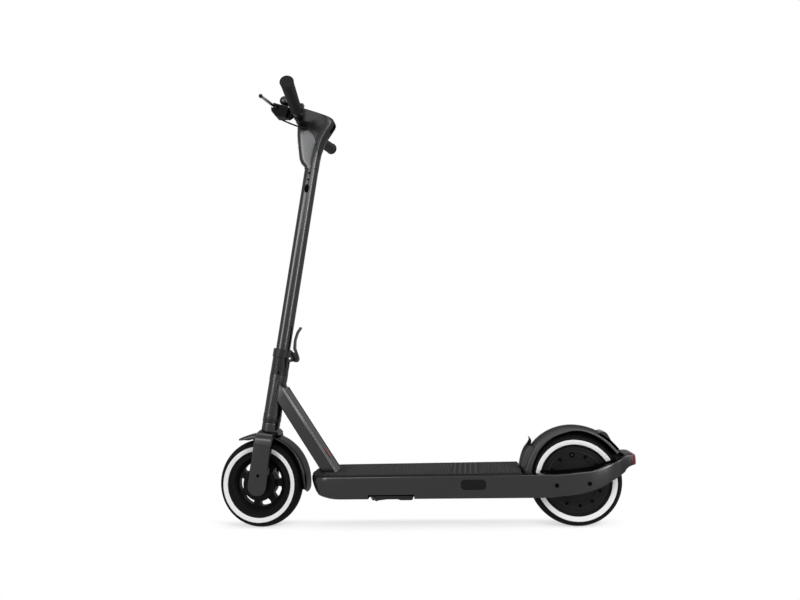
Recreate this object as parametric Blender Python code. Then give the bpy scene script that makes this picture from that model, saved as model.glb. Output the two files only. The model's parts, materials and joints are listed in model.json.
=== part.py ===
"""Folding electric scooter, built at real size in metres with +Z up.

The scooter faces -X and the rider's left side is -Y. The origin is at the middle of the
bounding box, on the ground. Most points are given from the spot on the ground under the front
axle, and an empty carries the whole scooter forward from there. The fork, stem and handlebar
are drawn in the steering frame: its origin is the front axle, its z runs up the steering axis
and its x points backwards, square to that axis.
"""
from math import atan2, cos, pi, radians, sin, sqrt

import bmesh
import bpy
from mathutils import Matrix, Vector

# Driving dimensions
TYRE_RADIUS = 0.125
TYRE_HALF_WIDTH = 0.0262
WHEELBASE = 0.896
RAKE = radians(10.43)
OVERALL_FRONT = -0.125
OVERALL_REAR = 1.052
CENTRE_X = (OVERALL_FRONT + OVERALL_REAR) / 2
GAP = 0.0003
REAR_AXLE = (WHEELBASE, 0.0, TYRE_RADIUS)

# Deck
DECK_HALF_WIDTH = 0.084
DECK_TOP = 0.1530
DECK_BOTTOM = 0.0940
DECK_FRONT = 0.1630
DECK_REAR_WALL = 0.7515
DECK_REAR = 0.827
DECK_CORNER = 0.060
WALL = 0.003
WELL_HALF_WIDTH = 0.062
MAT_THICKNESS = 0.0045

# Side stand: its hinge leans, so that the leg splays out as it comes down
STAND_PIVOT = (0.3530, -0.0735, 0.0970)
STAND_AXIS = (0.0, 0.8716, -0.4903)

# Frame tubes
HEAD_TUBE_LOW = 0.1933
HEAD_TUBE_HIGH = 0.3197
HEAD_TUBE_BORE = 0.0205
BEAM_TOP = (0.0563, 0.400)
BEAM_FOOT = (0.2357, 0.1204)

# Steering column, along the steering axis
CROWN_HIGH = 0.1535
CROWN_SEAT = 0.177
STEERER_RADIUS = 0.0155
STEERER_TOP = 0.326
FORK_HALF_WIDTH = 0.054
COVER_RADIUS = 0.028
COVER_INNER = 0.0428
COVER_BACK = 0.0035

# Folding joint
FOLD_PIVOT = (0.030, 0.0, 0.372)
FOLD_RADIUS = 0.0262
SPLIT_FRONT = 0.3470
SPLIT_REAR = 0.3368
SPLIT_RADIUS = 0.0405
BLOCK_HIGH = 0.396
TONGUE = (0.0046, 0.0088)
CHEEK = (0.0092, 0.0150)
PIN_RADIUS = 0.0030
PIN_BORE = 0.0034
LATCH_X = -0.010

# Stem and head
STEM_RADIUS = 0.0213
STEM_BORE = 0.0191
STEM_LOW = 0.3788
STEM_HIGH = 0.9535
HEAD_LOW = STEM_HIGH + GAP
DISPLAY_FRONT = (-0.045, 1.1380)
DISPLAY_REAR = (0.050, 1.1168)

# Handlebar, as points (x, y, z) of the steering frame on the left side
BAR_RADIUS = 0.011
BAR_BORE = 0.0114
BAR_MIDDLE = (-0.0456, 0.0, 1.0877)
BAR_BEND = 0.034
BAR_END = (-0.0240, -0.2385, 1.1160)
GRIP_START = 0.112
GRIP_END = 0.2439
GRIP_RADIUS = 0.0172

# Fenders
FENDER_RADIUS = 0.1437
REAR_FENDER_RADIUS = 0.1448
FENDER_THICKNESS = 0.0024

# Segments round a full turn
WHEEL_STEPS = 40
TUBE_STEPS = 24


# Scene helpers

def clear_scene():
    """Remove every object that is already there."""
    for obj in list(bpy.data.objects):
        bpy.data.objects.remove(obj, do_unlink=True)


def make_material(name, color, roughness, metallic=0.0):
    """A Principled material of one colour."""
    mat = bpy.data.materials.new(name)
    mat.use_nodes = True
    shader = mat.node_tree.nodes["Principled BSDF"]
    shader.inputs["Base Color"].default_value = (*color, 1.0)
    shader.inputs["Roughness"].default_value = roughness
    shader.inputs["Metallic"].default_value = metallic
    mat.diffuse_color = (*color, 1.0)
    return mat


def make_empty(name, location=(0, 0, 0), rotation=(0, 0, 0), parent=None):
    """An empty that carries other objects."""
    empty = bpy.data.objects.new(name, None)
    empty.location = location
    empty.rotation_euler = rotation
    empty.parent = parent
    bpy.context.scene.collection.objects.link(empty)
    return empty


def add(name, bm, mat, parent, pivot=(0, 0, 0), smooth=30):
    """An object from a bmesh in the parent's frame, with its origin at pivot."""
    bmesh.ops.translate(bm, verts=bm.verts, vec=-Vector(pivot))
    bmesh.ops.recalc_face_normals(bm, faces=bm.faces)
    mesh = bpy.data.meshes.new(name)
    bm.to_mesh(mesh)
    bm.free()
    mesh.shade_smooth()
    mesh.set_sharp_from_angle(angle=radians(smooth))
    if mat is not None:
        mesh.materials.append(mat)
    obj = bpy.data.objects.new(name, mesh)
    obj.location = pivot
    obj.parent = parent
    bpy.context.scene.collection.objects.link(obj)
    return obj


def combine(obj, bm, operation, parent=None):
    """Boolean of obj with a helper body drawn in parent's frame."""
    helper = add(obj.name + "_" + operation.lower(), bm, None, parent or obj.parent)
    helper.hide_render = True
    helper.display_type = "WIRE"
    modifier = obj.modifiers.new(operation.title(), "BOOLEAN")
    modifier.operation = operation
    modifier.solver = "EXACT"
    modifier.object = helper
    return obj


def cut(obj, bm, parent=None):
    """Take the helper body away from obj."""
    return combine(obj, bm, "DIFFERENCE", parent)


def unite(obj, bm, parent=None):
    """Weld the helper body to obj."""
    return combine(obj, bm, "UNION", parent)


def keep_inside(obj, bm, parent=None):
    """Keep only what lies inside the helper body."""
    return combine(obj, bm, "INTERSECT", parent)


def bevel(obj, width, segments=2, angle=40):
    """Round the sharp edges of obj."""
    modifier = obj.modifiers.new("Bevel", "BEVEL")
    modifier.width = width
    modifier.segments = segments
    modifier.limit_method = "ANGLE"
    modifier.angle_limit = radians(angle)
    return obj


# Outlines, as lists of (u, v)

def arc(centre, radius, start, end, steps):
    """Points on an arc, angles in degrees, both ends included."""
    points = []
    for i in range(steps + 1):
        a = radians(start + (end - start) * i / steps)
        points.append((centre[0] + radius * cos(a), centre[1] + radius * sin(a)))
    return points


def rounded(corners, steps=3):
    """An outline from corners (u, v, radius), each one filleted."""
    points = []
    count = len(corners)
    for i, (u, v, radius) in enumerate(corners):
        here = Vector((u, v))
        if radius <= 0:
            points.append((u, v))
            continue
        before = (Vector(corners[i - 1][:2]) - here).normalized()
        after = (Vector(corners[(i + 1) % count][:2]) - here).normalized()
        half = before.angle(after) / 2
        reach = radius / sin(half) * cos(half)
        centre = here + (before + after).normalized() * (radius / sin(half))
        first = here + before * reach - centre
        last = here + after * reach - centre
        a0 = atan2(first.y, first.x)
        turn = (atan2(last.y, last.x) - a0 + pi) % (2 * pi) - pi
        for k in range(steps + 1):
            a = a0 + turn * k / steps
            points.append((centre.x + radius * cos(a), centre.y + radius * sin(a)))
    return points


def superellipse(low, high, half_width, power, steps):
    """Rounded section in (x, y) from x = low to x = high."""
    middle = (low + high) / 2
    reach = (high - low) / 2
    points = []
    for i in range(steps):
        a = 2 * pi * i / steps
        c = cos(a)
        s = sin(a)
        x = middle + reach * abs(c) ** (2 / power) * (1 if c >= 0 else -1)
        y = half_width * abs(s) ** (2 / power) * (1 if s >= 0 else -1)
        points.append((x, y))
    return points


def smooth_value(table, x):
    """Value at x of a smooth curve through the (x, value) pairs of table."""
    if x <= table[0][0]:
        return table[0][1]
    for (x0, v0), (x1, v1) in zip(table, table[1:]):
        if x <= x1:
            k = (x - x0) / (x1 - x0)
            k = k * k * (3 - 2 * k) * 0.5 + k * 0.5
            return v0 + (v1 - v0) * k
    return table[-1][1]


# Solids, as bmeshes

def loft(rings, closed=False):
    """Skin over rings of equal count; the end rings are capped unless the loft is closed."""
    bm = bmesh.new()
    rows = []
    for ring in rings:
        rows.append([bm.verts.new(p) for p in ring])
    count = len(rows[0])
    spans = list(zip(rows, rows[1:]))
    if closed:
        spans.append((rows[-1], rows[0]))
    for low, high in spans:
        for i in range(count):
            j = (i + 1) % count
            bm.faces.new((low[i], low[j], high[j], high[i]))
    if not closed:
        bm.faces.new(list(reversed(rows[0])))
        bm.faces.new(rows[-1])
    return bm


def prism_y(outline, low, high):
    """Outline (x, z) drawn out along y."""
    return loft([[(x, low, z) for x, z in outline], [(x, high, z) for x, z in outline]])


def prism_z(outline, low, high):
    """Outline (x, y) drawn out along z."""
    return loft([[(x, y, low) for x, y in outline], [(x, y, high) for x, y in outline]])


def box(low, high):
    """Block between two corners."""
    (x0, y0, z0), (x1, y1, z1) = low, high
    return prism_z([(x0, y0), (x1, y0), (x1, y1), (x0, y1)], z0, z1)


def turn_y(profile, steps, centre=(0, 0, 0)):
    """Closed profile (radius, y) turned about the y axis."""
    rings = []
    for i in range(steps):
        a = 2 * pi * i / steps
        rings.append([
            (centre[0] + r * cos(a), centre[1] + y, centre[2] + r * sin(a)) for r, y in profile
        ])
    return loft(rings, closed=True)


def turn_z(profile, steps, centre=(0, 0)):
    """Closed profile (radius, z) turned about the z axis."""
    rings = []
    for i in range(steps):
        a = 2 * pi * i / steps
        rings.append([(centre[0] + r * cos(a), centre[1] + r * sin(a), z) for r, z in profile])
    return loft(rings, closed=True)


def stack_z(profile, steps, centre=(0, 0)):
    """Solid (radius, z) of rings stacked along z, with flat ends."""
    rings = []
    for r, z in profile:
        ring = []
        for i in range(steps):
            a = 2 * pi * i / steps
            ring.append((centre[0] + r * cos(a), centre[1] + r * sin(a), z))
        rings.append(ring)
    return loft(rings)


def stack_y(profile, steps):
    """Solid (radius, y) of rings stacked along y, with flat ends."""
    rings = []
    for r, y in profile:
        rings.append([(r * cos(2 * pi * i / steps), y, r * sin(2 * pi * i / steps))
                      for i in range(steps)])
    return loft(rings)


def rod(start, end, radius, steps, end_radius=None):
    """Round bar between two points."""
    start = Vector(start)
    end = Vector(end)
    return tube_along([start, end], [radius, radius if end_radius is None else end_radius], steps)


def tube_along(path, radii, steps):
    """Round bar along a path, with one radius for each point."""
    points = [Vector(p) for p in path]
    rings = []
    side = None
    for i, point in enumerate(points):
        ahead = points[min(i + 1, len(points) - 1)] - points[max(i - 1, 0)]
        ahead.normalize()
        if side is None:
            guide = Vector((0, 0, 1)) if abs(ahead.z) < 0.9 else Vector((1, 0, 0))
            side = ahead.cross(guide)
        side = (side - ahead * side.dot(ahead)).normalized()
        up = ahead.cross(side)
        ring = []
        for k in range(steps):
            a = 2 * pi * k / steps
            ring.append(point + (side * cos(a) + up * sin(a)) * radii[i])
        rings.append(ring)
    return loft(rings)


def smooth_path(points, steps):
    """Points on a Catmull-Rom curve through the given points."""
    p = [Vector(q) for q in points]
    p = [p[0] * 2 - p[1]] + p + [p[-1] * 2 - p[-2]]
    path = []
    for i in range(1, len(p) - 2):
        for k in range(steps):
            t = k / steps
            a = p[i] * 2
            b = (p[i + 1] - p[i - 1]) * t
            c = (p[i - 1] * 2 - p[i] * 5 + p[i + 1] * 4 - p[i + 2]) * t * t
            d = (p[i] * 3 - p[i - 1] - p[i + 1] * 3 + p[i + 2]) * t * t * t
            path.append((a + b + c + d) * 0.5)
    path.append(p[-2])
    return path


def along_bar(bm, side):
    """Carry a body drawn about the y axis, y from the head, on to one half of the handlebar."""
    start = Vector((BAR_MIDDLE[0], -BAR_BEND * side, BAR_MIDDLE[2]))
    end = Vector((BAR_END[0], BAR_END[1] * side, BAR_END[2]))
    direction = (end - start).normalized()
    turn = Vector((0, -side, 0)).rotation_difference(direction).to_matrix().to_4x4()
    offset = start - direction * BAR_BEND
    bmesh.ops.transform(bm, matrix=Matrix.Translation(offset) @ turn, verts=bm.verts)
    return bm


def bar_point(side, distance):
    """Point on the handlebar's axis at a distance from the middle, in the steering frame."""
    start = Vector((BAR_MIDDLE[0], -BAR_BEND * side, BAR_MIDDLE[2]))
    end = Vector((BAR_END[0], BAR_END[1] * side, BAR_END[2]))
    return start + (end - start).normalized() * (distance - BAR_BEND)


# Wheels

def tyre_profile():
    """Section (radius, y) of an open tyre: rounded tread, drawn-in sidewalls, two beads."""
    w = TYRE_HALF_WIDTH
    outer = [
        (0.0853, 0.0180), (0.0985, 0.0240), (0.1090, w), (0.1180, 0.0222), (0.1232, 0.0140),
        (0.1250, 0.0045),
    ]
    inner = [(0.1165, 0.0100), (0.1060, 0.0195), (0.0870, 0.0142)]
    section = outer + [(r, -y) for r, y in reversed(outer)]
    return section + [(r, -y) for r, y in reversed(inner)] + inner


def front_rim_profile():
    """Half turned body (radius, y) of the cast wheel: hub, web, dish, and tyre channel."""
    half = [
        (0.0085, 0.0240), (0.0335, 0.0240), (0.0400, 0.0105), (0.0660, 0.0085), (0.0780, 0.0205),
        (0.0882, 0.0205), (0.0842, 0.0178), (0.0815, 0.0110),
    ]
    return half + [(r, -y) for r, y in reversed(half)]


def spoke_window(middle, steps=3):
    """Outline (x, z) of one of the seven windows between the spokes."""
    inner = 0.0455
    outer = 0.0650
    spoke = 0.0200
    corner = 0.0050
    a_in = asin_degrees((spoke / 2 + corner) / (inner + corner))
    a_out = asin_degrees((spoke / 2 + corner) / (outer - corner))
    pitch = 360 / 7
    points = []
    for radius, edge, turn in ((outer, a_out, 1), (inner, a_in, -1)):
        mid_r = radius - corner if turn > 0 else radius + corner
        first = middle - turn * (pitch / 2 - edge)
        last = middle + turn * (pitch / 2 - edge)
        for centre_angle, spread in ((first, (-90, 0)), (last, (0, 90))):
            c = (mid_r * cos(radians(centre_angle)), mid_r * sin(radians(centre_angle)))
            if turn > 0:
                a0 = centre_angle + spread[0]
                points += arc(c, corner, a0, a0 + 90, 2)
            else:
                a0 = centre_angle + 180 + spread[0]
                points += arc(c, corner, a0, a0 + 90, 1)
            if centre_angle == first:
                for k in range(1, steps):
                    a = radians(first + (last - first) * k / steps)
                    points.append((radius * cos(a), radius * sin(a)))
    return points


def asin_degrees(value):
    """Angle in degrees whose sine is value."""
    return atan2(value, sqrt(1 - value * value)) * 180 / pi


def build_front_wheel(parent, mats):
    """Tyre and seven-spoke cast wheel."""
    add("front_tyre", turn_y(tyre_profile(), WHEEL_STEPS), mats["tyre"], parent)
    rim = add("front_rim", turn_y(front_rim_profile(), WHEEL_STEPS), mats["black"], parent)
    for k in range(7):
        cut(rim, prism_y(spoke_window(37 + k * 360 / 7), -0.03, 0.03))


def build_rear_wheel(parent, mats):
    """Tyre, motor shell with its tyre channel, and the screwed cover on the left."""
    add("rear_tyre", turn_y(tyre_profile(), WHEEL_STEPS, REAR_AXLE), mats["tyre"], parent,
        pivot=REAR_AXLE)
    shell = [
        (0.0105, 0.0320), (0.0240, 0.0320), (0.0300, 0.0262), (0.0700, 0.0240), (0.0780, 0.0205),
        (0.0882, 0.0205), (0.0842, 0.0178), (0.0815, 0.0110), (0.0815, -0.0110),
        (0.0842, -0.0178), (0.0882, -0.0205), (0.0783, -0.0205), (0.0783, 0.0170),
        (0.0105, 0.0200),
    ]
    add("motor_shell", turn_y(shell, WHEEL_STEPS, REAR_AXLE), mats["black"], parent,
        pivot=REAR_AXLE)
    cover = [
        (0.0105, -0.0320), (0.0105, -0.0180), (0.0778, -0.0180), (0.0778, -0.0225),
        (0.0750, -0.0242), (0.0722, -0.0230), (0.0612, -0.0236), (0.0603, -0.0250),
        (0.0583, -0.0250), (0.0574, -0.0239), (0.0300, -0.0255), (0.0240, -0.0320),
    ]
    obj = add("motor_cover", turn_y(cover, WHEEL_STEPS, REAR_AXLE), mats["black"], parent,
              pivot=REAR_AXLE)
    for k in range(12):
        a = radians(5 + k * 30)
        x = WHEELBASE + 0.0668 * cos(a)
        z = TYRE_RADIUS + 0.0668 * sin(a)
        cut(obj, rod((x, -0.030, z), (x, -0.0222, z), 0.0032, 6))


# Frame and deck

def beam_section(half_depth, half_width):
    """Section (across, y) of the diagonal beam, a flat box with rounded corners."""
    return rounded([
        (-half_depth, -half_width, 0.0055), (half_depth, -half_width, 0.0055),
        (half_depth, half_width, 0.0055), (-half_depth, half_width, 0.0055),
    ], 3)


def beam_ring(place, half_depth, half_width):
    """Section of the beam at a place from 0 at its top to 1 at its foot."""
    top = Vector((BEAM_TOP[0], 0, BEAM_TOP[1]))
    foot = Vector((BEAM_FOOT[0], 0, BEAM_FOOT[1]))
    ahead = (foot - top).normalized()
    across = Vector((-ahead.z, 0, ahead.x))
    centre = top.lerp(foot, place)
    ring = []
    for u, y in beam_section(half_depth, half_width):
        ring.append(centre + across * u + Vector((0, y, 0)))
    return ring


def beam_body(grow=0.0):
    """Diagonal beam from the head tube down into the deck."""
    rings = [
        beam_ring(0.0, 0.0180 + grow, 0.0220 + grow),
        beam_ring(0.10, 0.0192 + grow, 0.0269 + grow),
        beam_ring(0.5, 0.0192 + grow, 0.0284 + grow),
        beam_ring(1.0, 0.0186 + grow, 0.0304 + grow),
    ]
    return loft(rings)


def build_frame(root, steering, mats):
    """Head tube and diagonal beam welded together, bored for the steerer."""
    frame = add("frame", beam_body(), mats["grey"], root)
    outer = [
        (0.0268, HEAD_TUBE_LOW), (0.0268, 0.2020), (0.0262, 0.2040), (0.0262, 0.3000),
        (0.0267, 0.3030), (0.0267, HEAD_TUBE_HIGH),
    ]
    unite(frame, stack_z(outer, TUBE_STEPS), steering)
    cut(frame, rod((0, 0, 0.15), (0, 0, 0.36), HEAD_TUBE_BORE, TUBE_STEPS), steering)
    cut(frame, loft([
        beam_ring(0.30, 0.0152, 0.0240), beam_ring(0.7, 0.0150, 0.0254),
        beam_ring(1.1, 0.0146, 0.0268),
    ]), root)
    flap_recess(frame, root, GAP)

    cup = [
        (0.0163, 0.1775), (0.0264, 0.1775), (0.0269, 0.1800), (0.0269, 0.1905),
        (0.0261, 0.1930), (0.0163, 0.1930),
    ]
    add("headset_cup", turn_z(cup, TUBE_STEPS), mats["black"], steering)
    for name, low in (("bearing_lower", 0.1936), ("bearing_upper", 0.3110)):
        ring = [
            (0.0159, low), (0.0201, low), (0.0201, low + 0.008), (0.0159, low + 0.008),
        ]
        add(name, turn_z(ring, 20), mats["steel"], steering)


def flap_frame():
    """Centre and directions of the charging socket's flap on the beam's rear face."""
    top = Vector((BEAM_TOP[0], 0, BEAM_TOP[1]))
    foot = Vector((BEAM_FOOT[0], 0, BEAM_FOOT[1]))
    ahead = (foot - top).normalized()
    across = Vector((-ahead.z, 0, ahead.x))
    centre = top.lerp(foot, 0.725) + across * 0.0189
    return centre, ahead, across


def flap_block(length, width, low, high):
    """Rounded block on the beam's rear face, from depth low to depth high outwards."""
    centre, ahead, across = flap_frame()
    outline = rounded([
        (-length, -width, 0.004), (length, -width, 0.004), (length, width, 0.004),
        (-length, width, 0.004),
    ], 2)
    rings = []
    for depth in (low, high):
        rings.append([centre + ahead * u + Vector((0, v, 0)) + across * depth
                      for u, v in outline])
    return loft(rings)


def flap_recess(frame, root, gap):
    """Seat for the flap and the socket hole under it."""
    cut(frame, flap_block(0.0150 + gap, 0.0095 + gap, -0.0023, 0.006), root)
    cut(frame, flap_block(0.0075, 0.0060, -0.006, 0.002), root)


def build_charge_flap(root, mats):
    """Rubber flap over the charging socket, hinged at its upper end."""
    centre, ahead, across = flap_frame()
    pivot = centre - ahead * 0.0135 + across * 0.0004
    flap = add("charge_flap", flap_block(0.0150, 0.0095, -0.0013, 0.0010), mats["red"], root,
               pivot=pivot)
    unite(flap, flap_block(0.0068, 0.0053, -0.0040, 0.0002), root)


def deck_ring(z, front, half_width, rear, corner, steps=6):
    """Plan outline of the deck at height z, with rounded front corners."""
    half = [(rear, half_width)]
    half += arc((front + corner, half_width - corner), corner, 90, 180, steps)
    outline = half + [(x, -y) for x, y in reversed(half)]
    return [(x, y, z) for x, y in outline]


def deck_body(inset=0.0, low=DECK_BOTTOM, high=DECK_TOP, rear=DECK_REAR):
    """Hull of the deck: the nose leans back towards the bottom, and the lower edge is rounded."""
    levels = [
        (0.0940, 0.0330, 0.0035), (0.0975, 0.0225, 0.0015), (0.1010, 0.0155, 0.0003),
        (0.1120, 0.0085, 0.0), (0.1280, 0.0030, 0.0), (0.1400, 0.0, 0.0), (0.1500, 0.0, 0.0),
        (0.1530, 0.0015, 0.0015),
    ]
    rings = []
    for z, lean, narrow in levels:
        if z < low - 1e-6 or z > high + 1e-6:
            continue
        half = DECK_HALF_WIDTH - narrow - inset
        rings.append(deck_ring(z, DECK_FRONT + lean + inset, half, rear, DECK_CORNER - inset))
    if inset:
        rings[0] = [(x, y, low) for x, y, z in rings[0]]
        rings[-1] = [(x, y, high) for x, y, z in rings[-1]]
    return loft(rings)


def build_deck(root, mats):
    """Tray, bottom cover, mat, battery and controller."""
    tray = add("deck_tray", deck_body(), mats["grey"], root)
    low = DECK_BOTTOM - 0.0005
    cut(tray, deck_body(inset=WALL, low=low, high=DECK_TOP - WALL, rear=DECK_REAR_WALL - WALL))
    well = [
        (DECK_REAR_WALL, -WELL_HALF_WIDTH, 0.008), (0.90, -WELL_HALF_WIDTH, 0),
        (0.90, WELL_HALF_WIDTH, 0), (DECK_REAR_WALL, WELL_HALF_WIDTH, 0.008),
    ]
    cut(tray, prism_z(rounded(well), 0.05, 0.20))
    cut(tray, beam_body(GAP))
    for side in (-1, 1):
        cut(tray, reflector_body(side, GAP))
    cut(tray, box((0.3330, -0.0995, 0.085), (0.4600, -0.0700, 0.1060)))

    cover = deck_body(inset=WALL + GAP, low=DECK_BOTTOM, high=DECK_BOTTOM + 0.0035,
                      rear=DECK_REAR_WALL - WALL - GAP)
    plate = add("deck_cover", cover, mats["black"], root)
    cut(plate, box((0.3330, -0.0995, 0.085), (0.4620, -0.0570, 0.1100)))
    for x in (0.30, 0.50, 0.70):
        unite(plate, box((x - 0.002, -0.055, DECK_BOTTOM + 0.0020), (x + 0.002, 0.055, 0.1035)))

    rear = DECK_REAR_WALL - 0.0015
    front = DECK_FRONT + 0.0015
    half = DECK_HALF_WIDTH - 0.0015
    low = DECK_TOP + GAP
    mat_rings = [
        deck_ring(low, front, half, rear, DECK_CORNER),
        deck_ring(low + MAT_THICKNESS - 0.001, front, half, rear, DECK_CORNER),
        deck_ring(low + MAT_THICKNESS, front + 0.001, half - 0.001, rear - 0.001, DECK_CORNER),
    ]
    mat = add("deck_mat", loft(mat_rings), mats["rubber"], root)
    cut(mat, beam_body(GAP))

    battery = rounded([
        (0.285, -0.062, 0.006), (0.600, -0.062, 0.006), (0.600, 0.062, 0.006),
        (0.285, 0.062, 0.006),
    ], 2)
    add("battery_pack", prism_z(battery, 0.1040, 0.1420), mats["blue"], root)
    fins = [(0.618, 0.1003 + 0.0040)]
    for k in range(6):
        x = 0.622 + k * 0.018
        fins += [(x, 0.126), (x, 0.136), (x + 0.009, 0.136), (x + 0.009, 0.126)]
    fins += [(0.728, 0.1043)]
    add("controller", prism_y(fins, -0.038, 0.038), mats["aluminium"], root)


def reflector_outline(grow):
    """Oval (x, z) of a side reflector."""
    low = (0.6200 - 0.0335 - grow, 0.1300 - 0.0130 - grow)
    high = (0.6200 + 0.0335 + grow, 0.1300 + 0.0130 + grow)
    radius = 0.0105 + grow
    return rounded([
        (low[0], low[1], radius), (high[0], low[1], radius), (high[0], high[1], radius),
        (low[0], high[1], radius),
    ], 4)


def reflector_body(side, grow=0.0):
    """Reflector let into one side of the tray."""
    depth = sorted((side * (DECK_HALF_WIDTH - 0.0017 - grow), side * (DECK_HALF_WIDTH + 0.0012)))
    return prism_y(reflector_outline(grow), depth[0], depth[1])


def build_reflectors(root, mats):
    """One oval reflector in each side of the deck."""
    for name, side in (("reflector_left", -1), ("reflector_right", 1)):
        body = reflector_body(side)
        bevel(add(name, body, mats["smoke"], root), 0.0006, 1)


# Rear end

def cover_ring(x, low, high, outer, thickness, side):
    """Section (y, z) of a side cover at x, with rounded outer edges."""
    edge = 0.0060
    section = [
        (outer - thickness, low), (outer - edge, low), (outer - edge * 0.3, low + edge * 0.3),
        (outer, low + edge), (outer, high - edge), (outer - edge * 0.3, high - edge * 0.3),
        (outer - edge, high), (outer - thickness, high),
    ]
    if side > 0:
        section = list(reversed(section))
    return [(x, side * y, z) for y, z in section]


def build_side_covers(root, mats):
    """Covers that carry the deck's sides back past the wheel and up to the tail."""
    lower = [(0.827, 0.0942), (0.893, 0.0999), (0.9115, 0.1038), (0.9303, 0.1087),
             (0.9496, 0.1145), (0.9653, 0.1208), (0.9797, 0.1285), (0.9904, 0.1326),
             (1.008, 0.1413)]
    upper = [(0.827, 0.1530), (0.873, 0.1560), (0.8975, 0.1583), (0.925, 0.1595),
             (0.9443, 0.1637), (0.9638, 0.1699), (0.984, 0.1752), (1.008, 0.1835)]
    outside = [(0.827, 0.0840), (0.880, 0.0832), (0.930, 0.0785), (0.970, 0.0690), (1.008, 0.0520)]
    stations = [DECK_REAR + GAP, 0.850, 0.873, 0.895, 0.911, 0.930, 0.950, 0.966, 0.981, 0.995,
                1.0080]
    for name, side in (("side_cover_left", -1), ("side_cover_right", 1)):
        rings = []
        for x in stations:
            rings.append(cover_ring(x, smooth_value(lower, x), smooth_value(upper, x),
                                    smooth_value(outside, x), 0.0110, side))
        cover = add(name, loft(rings), mats["grey"], root)
        for x, z in ((0.8364, 0.1256), (0.9204, 0.1282)):
            unite(cover, rod((x, side * (0.0617 + GAP), z), (x, side * 0.0765, z), 0.0055, 12))
            cut(cover, rod((x, side * 0.0740, z), (x, side * 0.0900, z), 0.0030, 10))


def build_dropouts(root, mats):
    """Plates that hold the rear axle, bolted inside the deck's two tails."""
    outline = rounded([
        (0.768, 0.1010, 0.004), (0.905, 0.1010, 0.010), (0.930, 0.1120, 0.008),
        (0.930, 0.1380, 0.010), (0.768, 0.1490, 0.004),
    ], 2)
    for name, side in (("dropout_left", -1), ("dropout_right", 1)):
        depth = sorted((side * 0.0540, side * (WELL_HALF_WIDTH - GAP)))
        plate = add(name, prism_y(outline, depth[0], depth[1]), mats["steel"], root)
        slot = arc((WHEELBASE, TYRE_RADIUS), 0.0064, 0, 180, 6)
        slot += [(WHEELBASE - 0.0064, 0.09), (WHEELBASE + 0.0064, 0.09)]
        cut(plate, prism_y(slot, -0.08, 0.08))


def build_motor(root, mats):
    """Rear axle with its nuts, and the wound core that it holds inside the wheel."""
    axle = add("rear_axle", rod((WHEELBASE, -0.0700, TYRE_RADIUS), (WHEELBASE, 0.0700, TYRE_RADIUS),
                                0.0060, 16), mats["steel"], root)
    for side in (-1, 1):
        unite(axle, rod((WHEELBASE, side * 0.0623, TYRE_RADIUS),
                        (WHEELBASE, side * 0.0690, TYRE_RADIUS), 0.0105, 6))
    teeth = 15
    outline = []
    for k in range(teeth):
        for turn, radius in ((0.10, 0.052), (0.18, 0.066), (0.02, 0.070), (0.98, 0.070),
                             (0.82, 0.066), (0.90, 0.052)):
            a = 2 * pi * (k + turn) / teeth
            if turn in (0.02, 0.98):
                a = 2 * pi * (k + (0.06 if turn < 0.5 else 0.94)) / teeth
            outline.append((WHEELBASE + radius * cos(a), TYRE_RADIUS + radius * sin(a)))
    core = add("motor_core", prism_y(outline, -0.0130, 0.0130), mats["copper"], root)
    cut(core, rod((WHEELBASE, -0.03, TYRE_RADIUS), (WHEELBASE, 0.03, TYRE_RADIUS), 0.0064, 16))


def fender_section(drop, width, thickness):
    """Section (radius inwards, y) of a fender: crowned top and two skirts."""
    edge = min(0.0075, drop * 0.55)
    crown = edge * 0.37
    outer = [(drop, width + 0.0010), (edge, width), (crown, width - 0.0065), (0.0, width * 0.4)]
    inner = [(drop, width + 0.0010 - thickness), (edge + thickness * 0.6, width - thickness),
             (crown + thickness, width - 0.0075), (thickness, width * 0.4)]
    section = outer + [(d, -y) for d, y in reversed(outer)]
    section += [(d, -y) for d, y in inner] + [(d, y) for d, y in reversed(inner)]
    return section


def fender_body(centre, radius, start, end, steps, drops, width):
    """Fender swept from angle start to end (degrees) round centre (x, z)."""
    rings = []
    for i in range(steps + 1):
        k = i / steps
        a = radians(start + (end - start) * k)
        drop = smooth_value(drops, k)
        ring = []
        for d, y in fender_section(drop, width, FENDER_THICKNESS):
            r = radius - d
            ring.append((centre[0] + r * cos(a), y, centre[1] + r * sin(a)))
        rings.append(ring)
    return loft(rings)


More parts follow.
